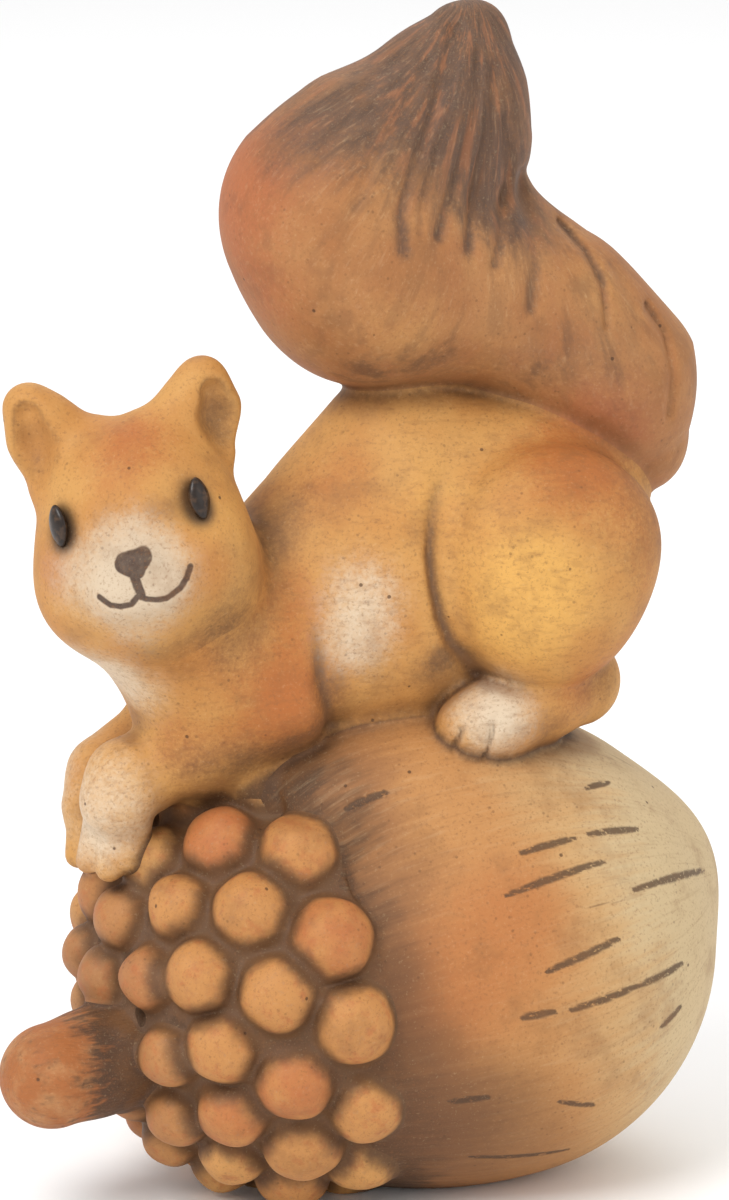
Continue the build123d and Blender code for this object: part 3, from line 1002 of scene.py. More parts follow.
@dataclass(frozen=True)
class FacePaint(FurPaint):
    """The fur's paint with a brush-drawn nose and mouth and dark rings round the eyes."""

    name: str = Slot.FACE.value
    cream: Paint = hue(219, 199, 172)
    #: half width of each drawn line, in millimetres
    strokes: tuple[tuple[str, float], ...] = (("mouth", 0.50), ("philtrum", 0.75), ("nose", 1.6))
    line: Paint = hue(74, 52, 42)
    ring: Paint = hue(66, 52, 42)

    def drawn(self, squirrel: "Squirrel") -> bpy.types.Material:
        """Builds the material.

        Args:
            squirrel: gives the place and turn of the face, and the drawn lines.

        Returns:
            The material.
        """
        graph = Graph(self.name)
        colour = self.sprayed(graph)
        middle = (np.array(squirrel.crown) + np.array(squirrel.head_middle)).tolist()
        offset = graph.offset(graph.place, middle)
        across, above, ahead = (graph.along(offset, axis.tolist()) for axis in squirrel.face_axes)
        shake = graph.uneven(2.5, 2) * 0.5
        flat = graph.output("ShaderNodeCombineXYZ", {}, {"X": across + shake, "Y": above - shake, "Z": 0.0})
        stroke = None
        for name, wide in self.strokes:
            line = getattr(squirrel, name)
            for start, end in zip(line, line[1:]):
                near = graph.to_segment((*start, 0.0), (*end, 0.0), flat) - wide
                stroke = near if stroke is None else stroke.lower(near)
        drawn = stroke.ramp(0.16, -0.16) * ahead.ramp(4.0, 7.0)
        colour = graph.mix(graph.mask("ring").ramp(0.04, 0.75) * 0.9, colour, self.ring)
        colour = graph.mix(drawn * (0.8 + graph.noise(1.2, 3) * 0.25), colour, self.line)
        return self.finished(graph, colour)


@dataclass(frozen=True)
class TailPaint(FurPaint):
    """The fur's paint with combed strands and a dark brown tip."""

    name: str = Slot.TAIL.value
    base: Paint = hue(188, 132, 80)
    warm: Paint = hue(174, 114, 66)
    gold: Paint = hue(206, 150, 88)
    blush: Paint = hue(184, 108, 66)
    dark: Paint = hue(100, 76, 62)
    furrow: Paint = hue(92, 68, 52)
    strand: Paint = hue(176, 112, 72)

    def made(self) -> bpy.types.Material:
        """Builds the material.

        Returns:
            The material.
        """
        graph = Graph(self.name)
        colour = self.sprayed(graph)
        comb = graph.vector("comb")
        strands = graph.noise(2.0, 4, 0.6, comb)
        fine = graph.noise(0.5, 2, 0.6, comb)
        dark = graph.mask("dark") * 0.7 + 0.2
        colour = graph.mix(strands.ramp(0.52, 0.32) * dark, colour, self.furrow)
        colour = graph.mix(strands.ramp(0.50, 0.68) * dark * 0.6, colour, self.strand)
        colour = graph.mix(fine.ramp(0.56, 0.76) * 0.10, colour, self.dust)
        return self.finished(graph, colour, marks=strands * 0.18 + fine * 0.06)


@dataclass(frozen=True)
class EyeGloss:
    """Near-black paint with a clear glaze over it."""

    black: Paint = hue(36, 23, 14)
    brown: Paint = hue(84, 60, 40)

    def made(self) -> bpy.types.Material:
        """Builds the material.

        Returns:
            The material.
        """
        graph = Graph(Slot.EYES.value)
        cloud = graph.noise(1.4, 2)
        colour = graph.mix(cloud.ramp(0.45, 0.75), self.black, self.brown)
        return graph.end(colour, cloud * 0.12 + 0.30, coat=0.15)


@dataclass
class Squirrel:
    """Sizes of the squirrel without its tail, in millimetres from the nut's crown, and its forms.

    Rows of a limb are x, y, z and radius, eggs are a middle and three radii, and drawn lines are x and z
    with a half width.
    """

    crown: tuple[float, float, float] = (3.60, 0.0, 78.39)
    middle_y: float = 3.0
    trunk: Rows = (
        (15.5, 3, 31.3, 23.6), (-0.3, 3, 26.7, 23.5), (-16.6, 1, 19.6, 15.4), (-32.1, -2, 14.8, 13.3),
    )
    back: Rows = ((-20.0, 1, 27.5, 12.4), (-4.9, 3, 47.2, 12.6))
    chest: Rows = ((-31, 1, 10, 13.2), (-37.5, 0, 0, 12.5))
    neck: Rows = ((-40.0, -4, 12.8, 14.1), (-49.2, -6, 26.0, 13.6))
    trunk_slim: float = 1.25
    #: brings distances in the slimmed trunk back to true ones
    trunk_scale: float = 0.85
    underside: tuple[object, ...] = ((-25.0, -3.0, 3.4), (-18.0, 4.0, 3.6), 6.4, 9.0)
    head_middle: tuple[float, float, float] = (-52.2, -10.0, 37.0)
    head_yaw: float = -19.0
    head_roll: float = 12.0
    head_nod: float = 2.0
    #: forms of the head, placed across, above and ahead of its middle
    skull: Egg = ((0, 3.0, -1.5), (16.6, 17.0, 15.5))
    cheeks: Rows = ((-9.0, -6.5, 2.5, 9.6), (7.8, -6.5, 2.5, 9.2))
    muzzle: Egg = ((0, -5.6, 10.2), (8.8, 6.2, 7.4))
    chin: tuple[float, ...] = (0, -12.0, 7.0, 5.0)
    nose_tip: Egg = ((0.1, -0.6, 16.4), (3.3, 2.2, 2.0))
    lip: Egg = ((3.4, -5.4, 14.9), (3.8, 2.8, 2.6))
    #: the socket's ball: further aside and ahead than the eye, and its radius
    socket: tuple[float, float, float] = (0.6, 3.2, 3.4)
    #: half width and depth of the mouth's lines, and how far ahead they start
    drawn: tuple[float, float, float] = (0.5, 0.3, 8)
    eye: tuple[float, float, float] = (11.7, 6.7, 9.6)
    eye_radii: tuple[float, float, float] = (2.05, 3.5, 1.1)
    ears: dict[str, tuple[Rows, Rows]] = field(default_factory=lambda: {
        "ear_left": ([(-48.6, -9.0, 54.0, 4.6), (-44.6, -8.2, 58.4, 3.2), (-41.2, -6.8, 61.8, 2.4),
                      (-38.5, -6.5, 57.2, 2.5), (-39.5, -7.5, 50.5, 3.4)],
                     [(-40.4, -10.8, 60.4, 1.9), (-39.4, -12.2, 56.4, 3.5), (-40.0, -13.0, 51.6, 3.0)]),
        "ear_right": ([(-61.6, -5.0, 52.4, 4.6), (-66.2, -4.2, 56.0, 3.2), (-69.8, -3.5, 58.2, 2.3),
                       (-69.4, -4.0, 52.4, 2.5), (-66.5, -4.5, 45.9, 3.4)],
                      [(-70.9, -7.2, 57.6, 1.7), (-70.2, -8.6, 52.8, 2.8), (-68.5, -9.4, 47.4, 2.5)]),
    })
    ear_thickness: float = 3.4
    haunch_top: Egg = ((15.8, -13.6, 31.6), (19.6, 14.4, 17.6))
    haunch_low: tuple[float, ...] = (14.8, -12.6, 23.4, 15.9)
    forelegs: dict[str, Rows] = field(default_factory=lambda: {
        "left": [(-26.9, -8, 17.5, 9.3), (-28.2, -10.5, 9.0, 7.6), (-43.2, -7, 0.6, 6.4),
                 (-50.7, -5, -4.0, 6.4)],
        "right": [(-26.9, 14, 17.5, 9.3), (-29.5, 15.5, 8.4, 8.2), (-40.5, 11, 1.2, 7.6),
                  (-49.5, 11.0, -5.1, 6.2)],
    })
    paws: dict[str, Rows] = field(default_factory=lambda: {
        "left": [(-50.7, -5.0, -4.0, 6.4), (-54.4, -6.4, -4.6, 6.3), (-56.4, -7.4, -8.2, 6.2)],
        "right": [(-49.5, 11.0, -5.1, 6.2), (-54.4, 9.4, -7.6, 5.8), (-57.0, 7.8, -12.6, 5.2)],
    })
    fingers: dict[str, list[Rows]] = field(default_factory=lambda: {
        "left": [[(-53.6, -8.4, -12.4, 2.7), (-54.8, -8.8, -17.6, 2.3)],
                 [(-56.8, -7.8, -13.0, 2.7), (-58.0, -8.2, -19.2, 2.3)],
                 [(-59.0, -4.6, -12.8, 2.6), (-60.6, -4.6, -18.6, 2.2)]],
        "right": [[(-57.6, 4.8, -16.0, 2.7), (-58.4, 4.2, -20.8, 2.2)],
                  [(-58.6, 8.2, -16.0, 2.7), (-59.4, 8.0, -21.0, 2.3)],
                  [(-57.0, 11.8, -15.0, 2.7), (-57.8, 12.2, -19.8, 2.2)]],
    })
    shank: Rows = (
        (22.4, -8.5, 7.6, 7.9), (14.0, -13.0, 6.2, 7.0), (6.5, -16.2, 4.6, 6.0),
    )
    sole: Egg = ((5.0, -17.2, 3.6), (8.9, 6.9, 6.3))
    toe_depth: float = 0.8
    toes: tuple[Rows, ...] = (
        ((-1.1, 4.0, 0.5), (-2.1, -0.5, 0.5)), ((3.7, 4.6, 0.6), (2.6, -2.0, 0.5)),
    )
    #: of a crease: depth, height where it ends, height it fades over, least share, lowest height
    thigh_fade: tuple[float, ...] = (1.3, 50, 16, 0.15, 8)
    fold_fade: tuple[float, ...] = (1.2, 26, 12, 0, 0)
    thigh_crease: Rows = (
        (-0.9, 47.6, 1.6), (-3.8, 43.0, 1.5), (-5.2, 37.4, 1.2), (-5.7, 32.5, 1.0), (-5.2, 27.4, 1.0),
        (-4.0, 22.3, 1.1), (-1.9, 17.8, 1.4), (1.0, 14.7, 1.8), (4.3, 10.0, 1.8),
    )
    shoulder_fold: Rows = (
        (-24.6, 21.0, 1.4), (-24.0, 12.4, 1.8), (-21.5, 4.0, 2.2),
    )
    mouth: Rows = (
        (-6.6, -4.5), (-5.1, -5.9), (-3.6, -6.4), (-1.8, -6.3), (-0.3, -5.2), (0.9, -6.0), (2.3, -6.4),
        (3.9, -6.5), (6.3, -5.5), (7.6, -4.4), (8.5, -2.9),
    )
    philtrum: Rows = ((-0.3, -1.6), (0.2, -5.3))
    nose: Rows = ((-1.5, 0.3), (1.5, 0.6), (0.2, -0.8), (-1.5, 0.3))
    #: how softly the forms of a piece melt into each other
    soft: dict[str, float] = field(default_factory=lambda: {
        "chain": 3, "trunk": 20, "back": 9, "chest": 8, "underside": 5, "neck": 7, "cheek": 6, "cheeks": 8,
        "muzzle": 7, "chin": 6, "nose": 2.2, "socket": 3.2, "lip": 3, "ear": 5, "ear_web": 4, "cup": 2,
        "cup_edge": 2.4, "haunch": 6, "shank": 4, "sole": 3, "foreleg": 4, "finger": 1.6,
    })
    #: boxes outside which a piece is not measured
    rooms: dict[str, Room] = field(default_factory=lambda: {
        "squirrel_body": ((-75, -35, -30), (60, 40, 75)),
        "foreleg_left": ((-70, -32, -28), (-5, 15, 40)),
        "foreleg_right": ((-70, -12, -28), (-10, 35, 40)),
        "forepaw_left": ((-75, -25, -35), (-35, 12, 15)),
        "forepaw_right": ((-75, -5, -35), (-35, 30, 15)),
        "haunch": ((-16, -42, -5), (48, 12, 62)),
        "hind_foot": ((-12, -38, -15), (48, 8, 34)),
        "squirrel_head": ((-85, -45, 5), (-20, 25, 70)),
        "ear_left": ((-62, -25, 35), (-25, 15, 80)),
        "ear_right": ((-90, -20, 30), (-45, 20, 80)),
    })
    face_axes: Array = field(init=False)

    def __post_init__(self) -> None:
        """Works out the face's own axes: to the viewer's right, up and forwards."""
        yaw, roll, nod = (math.radians(a) for a in (self.head_yaw, self.head_roll, self.head_nod))
        across = np.array([math.cos(yaw), math.sin(yaw), 0])
        ahead = np.array([math.sin(yaw), -math.cos(yaw), 0])
        rise = np.array([0, 0, 1.0])
        down, lift = rise * math.sin(nod), ahead * math.sin(nod)
        ahead, rise = ahead * math.cos(nod) - down, rise * math.cos(nod) + lift
        self.face_axes = np.array([
            across * math.cos(roll) + rise * math.sin(roll),
            rise * math.cos(roll) - across * math.sin(roll),
            ahead,
        ], np.float32)

    def on_face(self, *place: float) -> Array:
        """Point given across, above and ahead of the head's middle."""
        return np.array(self.head_middle) + np.array(place) @ self.face_axes

    def body(self, p: Array) -> Array:
        """Distance to trunk, chest and neck.

        Args:
            p: points in millimetres from the crown of the nut.

        Returns:
            The distance of every point, negative inside.
        """
        soft = self.soft
        slim = (p - np.float32([0, self.middle_y, 0])) * np.float32([1, self.trunk_slim, 1])
        slim = slim + np.float32([0, self.middle_y, 0])
        back = chain(slim, self.back, soft["chain"])
        trunk = melt(chain(slim, self.trunk, soft["trunk"]), back, soft["back"])
        form = melt(trunk * self.trunk_scale, chain(p, self.chest, soft["chain"]), soft["chest"])
        form = melt(form, limb(p, *self.underside), soft["underside"])
        return melt(form, chain(p, self.neck, soft["chain"]), soft["neck"])

    def head(self, p: Array) -> Array:
        """Distance to the head without its ears.

        Args:
            p: points in millimetres from the crown of the nut.

        Returns:
            The distance of every point, negative inside.
        """
        place, axes, soft = self.on_face, self.face_axes, self.soft
        form = egg(p, place(*self.skull[0]), self.skull[1], axes)
        one, two = (ball(p, place(*cheek[:3]), cheek[3]) for cheek in self.cheeks)
        form = melt(form, melt(one, two, soft["cheek"]), soft["cheeks"])
        form = melt(form, egg(p, place(*self.muzzle[0]), self.muzzle[1], axes), soft["muzzle"])
        form = melt(form, ball(p, place(*self.chin[:3]), self.chin[3]), soft["chin"])
        form = melt(form, egg(p, place(*self.nose_tip[0]), self.nose_tip[1], axes), soft["nose"])
        across, above, ahead = self.eye
        aside, before, radius = self.socket
        (out, low, front), radii = self.lip
        for side in (-1, 1):
            hollow = ball(p, place(side * (across + aside), above, ahead + before), radius)
            form = carve(form, hollow, soft["socket"])
            form = melt(form, egg(p, place(side * out, low, front), radii, axes), soft["lip"])
        face = (p - np.float32(self.head_middle)) @ self.face_axes.T
        wide, deep, start = self.drawn
        for drawn in (self.mouth, self.philtrum):
            line = [(*at, wide) for at in drawn]
            form = form + deep * bell(line_distance(face[:, :2], line)) * (face[:, 2] > start)
        return form

    def ear(self, p: Array, name: str) -> Array:
        """Distance to one ear, a thick rounded triangle with a cup in its outer front.

        Args:
            p: points in millimetres from the crown of the nut.
            name: the ear's node.

        Returns:
            The distance of every point, negative inside.
        """
        rim, cup = self.ears[name]
        corners = rim[0], rim[2], rim[4]
        middle = (*(np.mean([corner[axis] for corner in corners]) for axis in range(3)), self.ear_thickness)
        web = chain(p, [middle, rim[2]], self.soft["chain"])
        form = melt(chain(p, rim, self.soft["ear"]), web, self.soft["ear_web"])
        return carve(form, chain(p, cup, self.soft["cup"]), self.soft["cup_edge"])

    def haunch(self, p: Array) -> Array:
        """Distance to one thigh, as wide as it is drawn on the left."""
        top = egg(p, *self.haunch_top)
        return melt(top, ball(p, self.haunch_low[:3], self.haunch_low[3]), self.soft["haunch"])

    def foot(self, p: Array) -> Array:
        """Distance to one hind foot, its toes parted by two grooves.

        Args:
            p: points in millimetres from the crown of the nut.

        Returns:
            The distance of every point, negative inside.
        """
        form = melt(chain(p, self.shank, self.soft["shank"]), egg(p, *self.sole), self.soft["sole"])
        front = (p[:, 1] < self.sole[0][1] - 1) * self.toe_depth
        for line in self.toes:
            form = form + front * bell(line_distance(p[:, [0, 2]], line))
        return form

    def foreleg(self, p: Array, side: str) -> Array:
        """Distance to one foreleg."""
        return chain(p, self.forelegs[side], self.soft["foreleg"])

    def paw(self, p: Array, side: str) -> Array:
        """Distance to one front paw with its fingers.

        Args:
            p: points in millimetres from the crown of the nut.
            side: left or right.

        Returns:
            The distance of every point, negative inside.
        """
        form = chain(p, self.paws[side], self.soft["chain"])
        for root, tip in self.fingers[side]:
            form = melt(form, limb(p, root[:3], tip[:3], root[3], tip[3]), self.soft["finger"])
        return form

    def forms(self, points: Array) -> dict[str, Array]:
        """Distances to each of the squirrel's pieces but the tail.

        Args:
            points: points in millimetres from the crown of the nut.

        Returns:
            A distance for every point, by the name of the CAD node.
        """
        far = points * np.float32([1, -1, 1]) + np.float32([0, 2 * self.middle_y, 0])
        forms = {
            "squirrel_body": within(points, *self.rooms["squirrel_body"], self.body),
            "squirrel_head": within(points, *self.rooms["squirrel_head"], self.head),
        }
        for side, place in (("left", points), ("right", far)):
            leg, paw, ear = f"foreleg_{side}", f"forepaw_{side}", f"ear_{side}"
            forms[leg] = within(points, *self.rooms[leg], lambda p, side=side: self.foreleg(p, side))
            forms[paw] = within(points, *self.rooms[paw], lambda p, side=side: self.paw(p, side))
            forms[ear] = within(points, *self.rooms[ear], lambda p, ear=ear: self.ear(p, ear))
            forms[f"haunch_{side}"] = within(place, *self.rooms["haunch"], self.haunch)
            forms[f"hind_foot_{side}"] = within(place, *self.rooms["hind_foot"], self.foot)
        return forms

    @staticmethod
    def cut(flat: Array, line: Rows, fade: tuple[float, ...]) -> Array:
        """Depth of one drawn crease, which fades as it rises.

        Args:
            flat: x and z of the points.
            line: the drawn line.
            fade: its depth, where it ends, what it fades over, its least share and its lowest height.

        Returns:
            The depth at every point, in millimetres.
        """
        depth, ends, over, least, lowest = fade
        share = np.clip((ends - flat[:, 1]) / over, least, 1)
        return depth * bell(line_distance(flat, line)) * share * (flat[:, 1] > lowest)

    def crease(self, points: Array) -> Array:
        """Depth of the drawn creases in front of each thigh and behind each shoulder.

        Args:
            points: points in millimetres from the crown of the nut.

        Returns:
            The depth at every point, in millimetres.
        """
        flat = points[:, [0, 2]]
        thigh = self.cut(flat, self.thigh_crease, self.thigh_fade)
        return np.maximum(thigh, self.cut(flat, self.shoulder_fold, self.fold_fade))


@dataclass
class Tail:
    """The raised tail: a lower length, a plume that curls to a point, and combed locks of hair.

    Each lock has a depth, a half width and a line of x and z.
    """

    root: Rows = (
        (38.3, 5, 43.7, 7.1), (32.5, 5, 55.8, 13.2), (21.2, 5, 67.0, 13.8), (5.1, 4, 74.7, 17.0),
    )
    shoulder: Rows = ((13.2, 5, 86.0, 6.4), (19.2, 5, 78.6, 6.6))
    plume: Rows = (
        (5.1, 4, 74.7, 17.0), (-10.6, 2, 78.0, 17.6), (-16.2, 2, 87.5, 16.5), (-8.6, 3, 95.6, 13.2),
        (4.1, 4, 103.3, 10.3), (8.8, 5, 116.0, 5.0),
    )
    lobe: Rows = (
        (5.0, 4, 115.8, 4.4), (0.0, 4, 109.8, 6.4), (-8.0, 3, 101.0, 10.0),
    )
    heart: Rows = ((6.8, 4, 96.2, 8.6), (4.1, 4, 103.3, 10.3))
    #: x and z that the strands fan out from, and the scales round it, through the tail and down from it
    comb: tuple[float, float] = (8.0, 124.0)
    comb_scales: tuple[float, float, float] = (30.0, 0.7, 0.11)
    length_soft: float = 10
    shoulder_soft: float = 4
    heart_soft: float = 8
    lobe_soft: float = 3
    #: boxes outside which a piece is not measured
    rooms: dict[str, Room] = field(default_factory=lambda: {
        "tail_root": ((-25, -30, 20), (65, 40, 110)),
        "tail_plume": ((-50, -30, 40), (40, 40, 135)),
    })
    locks: tuple[tuple[float, float, Rows], ...] = (
        (1.0, 1.4, ((3.7, 116.9), (-0.2, 109.8), (-3.9, 102.2), (-8.4, 94.8), (-10.3, 89.4), (-10.1, 83.8))),
        (1.0, 1.4, ((6.3, 112.5), (4.7, 105), (2.2, 97), (-1.3, 90.9), (-3.4, 85.6))),
        (1.1, 1.4, ((8.8, 110.9), (6.9, 101.5), (4.3, 91.8), (2.1, 82.6))),
        (0.9, 1.3, ((9.8, 102.9), (11.2, 92.4), (9.2, 85), (6.9, 79.8))),
        (0.4, 1.0, ((-1.8, 112.7), (-7.7, 105.5), (-14.1, 98.2), (-18.2, 90.6))),
        (0.3, 1.0, ((-6.2, 112.5), (-13.6, 107.7), (-20.6, 101.2), (-24.9, 93.7))),
        (0.5, 0.8, ((0.9, 108), (-2.6, 99.6), (-6.3, 91.4), (-7.0, 86))),
        (0.8, 1.5, ((14.6, 93), (15.4, 85), (14.6, 78.5), (13.5, 72))),
        (0.9, 0.9, ((22, 84), (25.5, 79.5), (27.2, 74.5), (27.2, 68))),
        (0.9, 0.9, ((36, 70), (38.8, 65.5), (39.6, 59), (39.2, 52))),
        (0.4, 1.3, ((30, 77), (32.5, 71), (33.0, 64))),
    )

    def combed(self, points: Array) -> Array:
        """Places measured round and down from the tip, so that strands follow the locks.

        Args:
            points: points in millimetres from the crown of the nut.

        Returns:
            Rows of the place across the strands, through the tail and along them.
        """
        across, down = points[:, 0] - self.comb[0], self.comb[1] - points[:, 2]
        turning, through, along = self.comb_scales
        angle = np.arctan2(across, down)
        return np.stack([angle * turning, points[:, 1] * through, np.hypot(across, down) * along], 1)

    def lower(self, p: Array) -> Array:
        """Distance to the lower length."""
        soft = self.shoulder_soft
        return melt(chain(p, self.root, self.length_soft), chain(p, self.shoulder, soft), soft)

    def upper(self, p: Array) -> Array:
        """Distance to the plume and its tip."""
        plume, heart = chain(p, self.plume, self.length_soft), chain(p, self.heart, self.heart_soft)
        return melt(melt(plume, heart, self.heart_soft), chain(p, self.lobe, self.lobe_soft), self.lobe_soft)

    def forms(self, points: Array) -> dict[str, Array]:
        """Distances to the two pieces of the tail.

        Args:
            points: points in millimetres from the crown of the nut.

        Returns:
            A distance for every point, by the name of the CAD node.
        """
        pieces = {"tail_root": self.lower, "tail_plume": self.upper}
        return {name: within(points, *self.rooms[name], form) for name, form in pieces.items()}

    def hair(self, points: Array) -> Array:
        """Depth of the locks at points on the tail.

        Args:
            points: points in millimetres from the crown of the nut.

        Returns:
            The depth at every point, in millimetres.
        """
        flat = points[:, [0, 2]]
        depth = np.zeros(len(points), np.float32)
        for deep, wide, line in self.locks:
            depth = np.maximum(depth, deep * bell(line_distance(flat, [(*at, wide) for at in line])))
        return depth


@dataclass
class Figurine:
    """The whole figurine as one distance field, parted into the pieces that the CAD names."""

    acorn: Acorn = field(default_factory=Acorn)
    squirrel: Squirrel = field(default_factory=Squirrel)
    tail: Tail = field(default_factory=Tail)
    #: size of the grid's cells
    pitch: float = 0.7
    low: tuple[float, float, float] = (-90, -50, -6)
    high: tuple[float, float, float] = (60, 50, 205)
    #: widths of the soft creases, in the order in which the pieces are melted on
    creases: dict[str, float] = field(default_factory=lambda: {
        "acorn_nut": 0.0, "acorn_cap": 1.5, "cap_knobs_ring_1": 1.6, "cap_knobs_ring_2": 1.6,
        "cap_knobs_ring_3": 1.6, "cap_knobs_ring_4": 1.6, "cap_knobs_ring_5": 1.6, "acorn_stem": 3.0,
        "squirrel_body": 4.0, "foreleg_left": 3.0, "foreleg_right": 3.0, "forepaw_left": 1.6,
        "forepaw_right": 1.6, "haunch_left": 2.2, "haunch_right": 2.2, "hind_foot_left": 2.0,
        "hind_foot_right": 2.0, "tail_root": 2.2, "tail_plume": 3.0, "squirrel_head": 8.0,
        "ear_left": 4.0, "ear_right": 4.0,
    })
    folded: tuple[str, ...] = (
        "squirrel_body", "haunch_left", "haunch_right", "foreleg_left", "foreleg_right",
    )
    #: how far from a surface hair and creases are worked out
    cut_reach: float = 6
    #: steps of the slopes for normals and for borders
    normal_step: float = 0.35
    border_step: float = 0.15

    def above(self, points: Array) -> Array:
        """Points measured from the crown of the nut, where the squirrel sits."""
        return points - np.float32(self.squirrel.crown)

    def forms(self, points: Array) -> dict[str, Array]:
        """Distances to each piece by itself, by the name of its CAD node."""
        above = self.above(points)
        return self.acorn.forms(points) | self.squirrel.forms(above) | self.tail.forms(above)

    def stacked(self, points: Array) -> Array:
        """Distances to the pieces, a column for each, in the order of the creases."""
        parts = self.forms(points)
        return np.stack([parts[name] for name in self.creases], 1)

    def distance(self, points: Array) -> Array:
        """Distance to the surface of the whole figurine, creases and hair and all.

        Args:
            points: points in the row frame, in millimetres.

        Returns:
            The distance of every point, negative inside.
        """
        parts = self.forms(points)
        above = self.above(points)
        cuts = (("tail_root", "tail_plume"), self.tail.hair), (self.folded, self.squirrel.crease)
        for names, cut in cuts:
            near = np.minimum.reduce([parts[name] for name in names]) < self.cut_reach
            if near.any():
                depth = cut(above[near])
                for name in names:
                    parts[name][near] += depth
        form = parts["acorn_nut"]
        for name, width in list(self.creases.items())[1:]:
            form = melt(form, parts[name], width)
        return np.maximum(form, -points[:, 2])

    def nearest(self, points: Array) -> Array:
        """Number of the piece that each point belongs to, in the order of the creases."""
        return np.argmin(self.stacked(points), 1)

    def sculpt(self) -> "Sculpture":
        """Grows the skin and parts it into pieces.

        Returns:
            The sculpture, with a piece for each CAD node but the eyes.
        """
        skin = Skin.grown(self.distance, self.low, self.high, self.pitch)
        skin.settle(self.distance)
        log.info("skin of %d vertices and %d faces", len(skin.vertices), len(skin.faces))
        middles = skin.vertices[skin.faces].mean(1).astype(np.float32)
        labels = Parting(skin.faces).tidied(self.nearest(middles))
        self.trim(skin, labels)
        slope = gradient(self.distance, skin.vertices.astype(np.float32), self.normal_step)
        normals = slope / (np.linalg.norm(slope, axis=1, keepdims=True) + TINY)
        return Sculpture(skin, labels, normals, list(self.creases), self.distance)

    def trim(self, skin: Skin, labels: Array, steepest: float = 0.2, longest: float = 0.5) -> None:
        """Moves the vertices between two pieces onto the line where both are as near.

        Args:
            skin: the surface, whose vertices are moved.
            labels: the piece of each face.
            steepest: least square of the slope that a move is worked out from.
            longest: longest move, in shares of the grid's cells.
        """
        lowest = np.full(len(skin.vertices), len(self.creases))
        highest = np.full(len(skin.vertices), -1)
        np.minimum.at(lowest, skin.faces.ravel(), np.repeat(labels, 4))
        np.maximum.at(highest, skin.faces.ravel(), np.repeat(labels, 4))
        rim = np.nonzero(lowest != highest)[0]

        def between(points: Array) -> Array:
            """How much nearer a point of the rim is to one piece than to the other."""
            near, rows = self.stacked(points), np.arange(len(points))
            return near[rows, lowest[rim]] - near[rows, highest[rim]]

        for _ in range(2):
            points = skin.vertices[rim].astype(np.float32)
            aside, out = (gradient(measure, points, self.border_step) for measure in (between, self.distance))
            out /= np.linalg.norm(out, axis=1, keepdims=True) + TINY
            aside -= out * (aside * out).sum(1, keepdims=True)
            size = np.maximum((aside**2).sum(1), steepest)
            step = aside * np.clip(between(points) / size, -0.5, 0.5)[:, None]
            long = np.linalg.norm(step, axis=1, keepdims=True)
            skin.vertices[rim] -= step * np.minimum(1, longest * self.pitch / (long + TINY))
        skin.settle(self.distance, 2)


@dataclass
class Parting:
    """Faces of a surface and which of them lie side by side."""

    faces: Array
    beside: Array = field(init=False)

    def __post_init__(self) -> None:
        """Finds the four neighbours of every face."""
        start, end = self.faces.ravel(), np.roll(self.faces, -1, 1).ravel()
        edges = np.minimum(start, end).astype(np.int64) * (self.faces.max() + 1) + np.maximum(start, end)
        order = np.argsort(edges, kind="stable")
        same = edges[order][1:] == edges[order][:-1]
        self.beside = np.repeat(np.arange(len(self.faces)), 4)
        first, second = order[:-1][same], order[1:][same]
        self.beside[first], self.beside[second] = second // 4, first // 4
        self.beside = self.beside.reshape(-1, 4)

    def islands(self, labels: Array) -> Array:
        """Finds the connected patches of one label.

        Args:
            labels: the piece of each face.

        Returns:
            The number of the patch that each face is in, which is its lowest face.
        """
        patch = np.arange(len(labels))
        same = labels[self.beside] == labels[:, None]
        around = np.where(same, self.beside, patch[:, None])
        while True:
            lower = np.minimum(patch[around].min(1), patch)
            lower = np.minimum(lower, lower[lower])
            if (lower == patch).all():
                return patch
            patch = lower

    def tidied(self, labels: Array, smallest: int = 150) -> Array:
        """Smooths the borders between pieces and gives stray patches to their neighbours.

        Args:
            labels: the piece of each face.
            smallest: the fewest faces that a patch may have.

        Returns:
            The corrected labels.
        """
        for _ in range(3):
            ranked = np.sort(labels[self.beside], 1)
            most = np.where(ranked[:, 0] == ranked[:, 2], ranked[:, 0], labels)
            labels = np.where(ranked[:, 1] == ranked[:, 3], ranked[:, 1], most)
        for _ in range(40):
            patch = self.islands(labels)
            small = np.bincount(patch, minlength=len(labels))[patch] < smallest
            if not small.any():
                break
            other = labels[self.beside] != labels[:, None]
            other &= ~small[self.beside] | (labels[self.beside] < labels[:, None])
            found = other.any(1) & small
            labels = labels.copy()
            labels[found] = labels[self.beside[found, np.argmax(other[found], 1)]]
        return labels


class Rim:
    """The open edges of a piece, and the rings that they make up."""

    def __init__(self, faces: Array) -> None:
        """Finds the edges that only one face has, and the ring that each is on.

        Args:
            faces: the corners of the piece's faces.
        """
        start, end = faces.ravel(), np.roll(faces, -1, 1).ravel()
        edges = dict.fromkeys(zip(start.tolist(), end.tolist()))
        self.pairs = [pair for pair in edges if pair[::-1] not in edges]
        self.group = {vertex: vertex for pair in self.pairs for vertex in pair}
        for one, two in self.pairs:
            self.group[self.leader(one)] = self.leader(two)
        self.rings: dict[int, list[int]] = {}
        for vertex in self.group:
            self.rings.setdefault(self.leader(vertex), []).append(vertex)

    def leader(self, vertex: int) -> int:
        """Finds the vertex that stands for the ring which a vertex is on.

        Args:
            vertex: a vertex of the rim.

        Returns:
            The ring's own vertex.
        """
        group = self.group
        while group[vertex] != vertex:
            group[vertex] = group[group[vertex]]
            vertex = group[vertex]
        return vertex


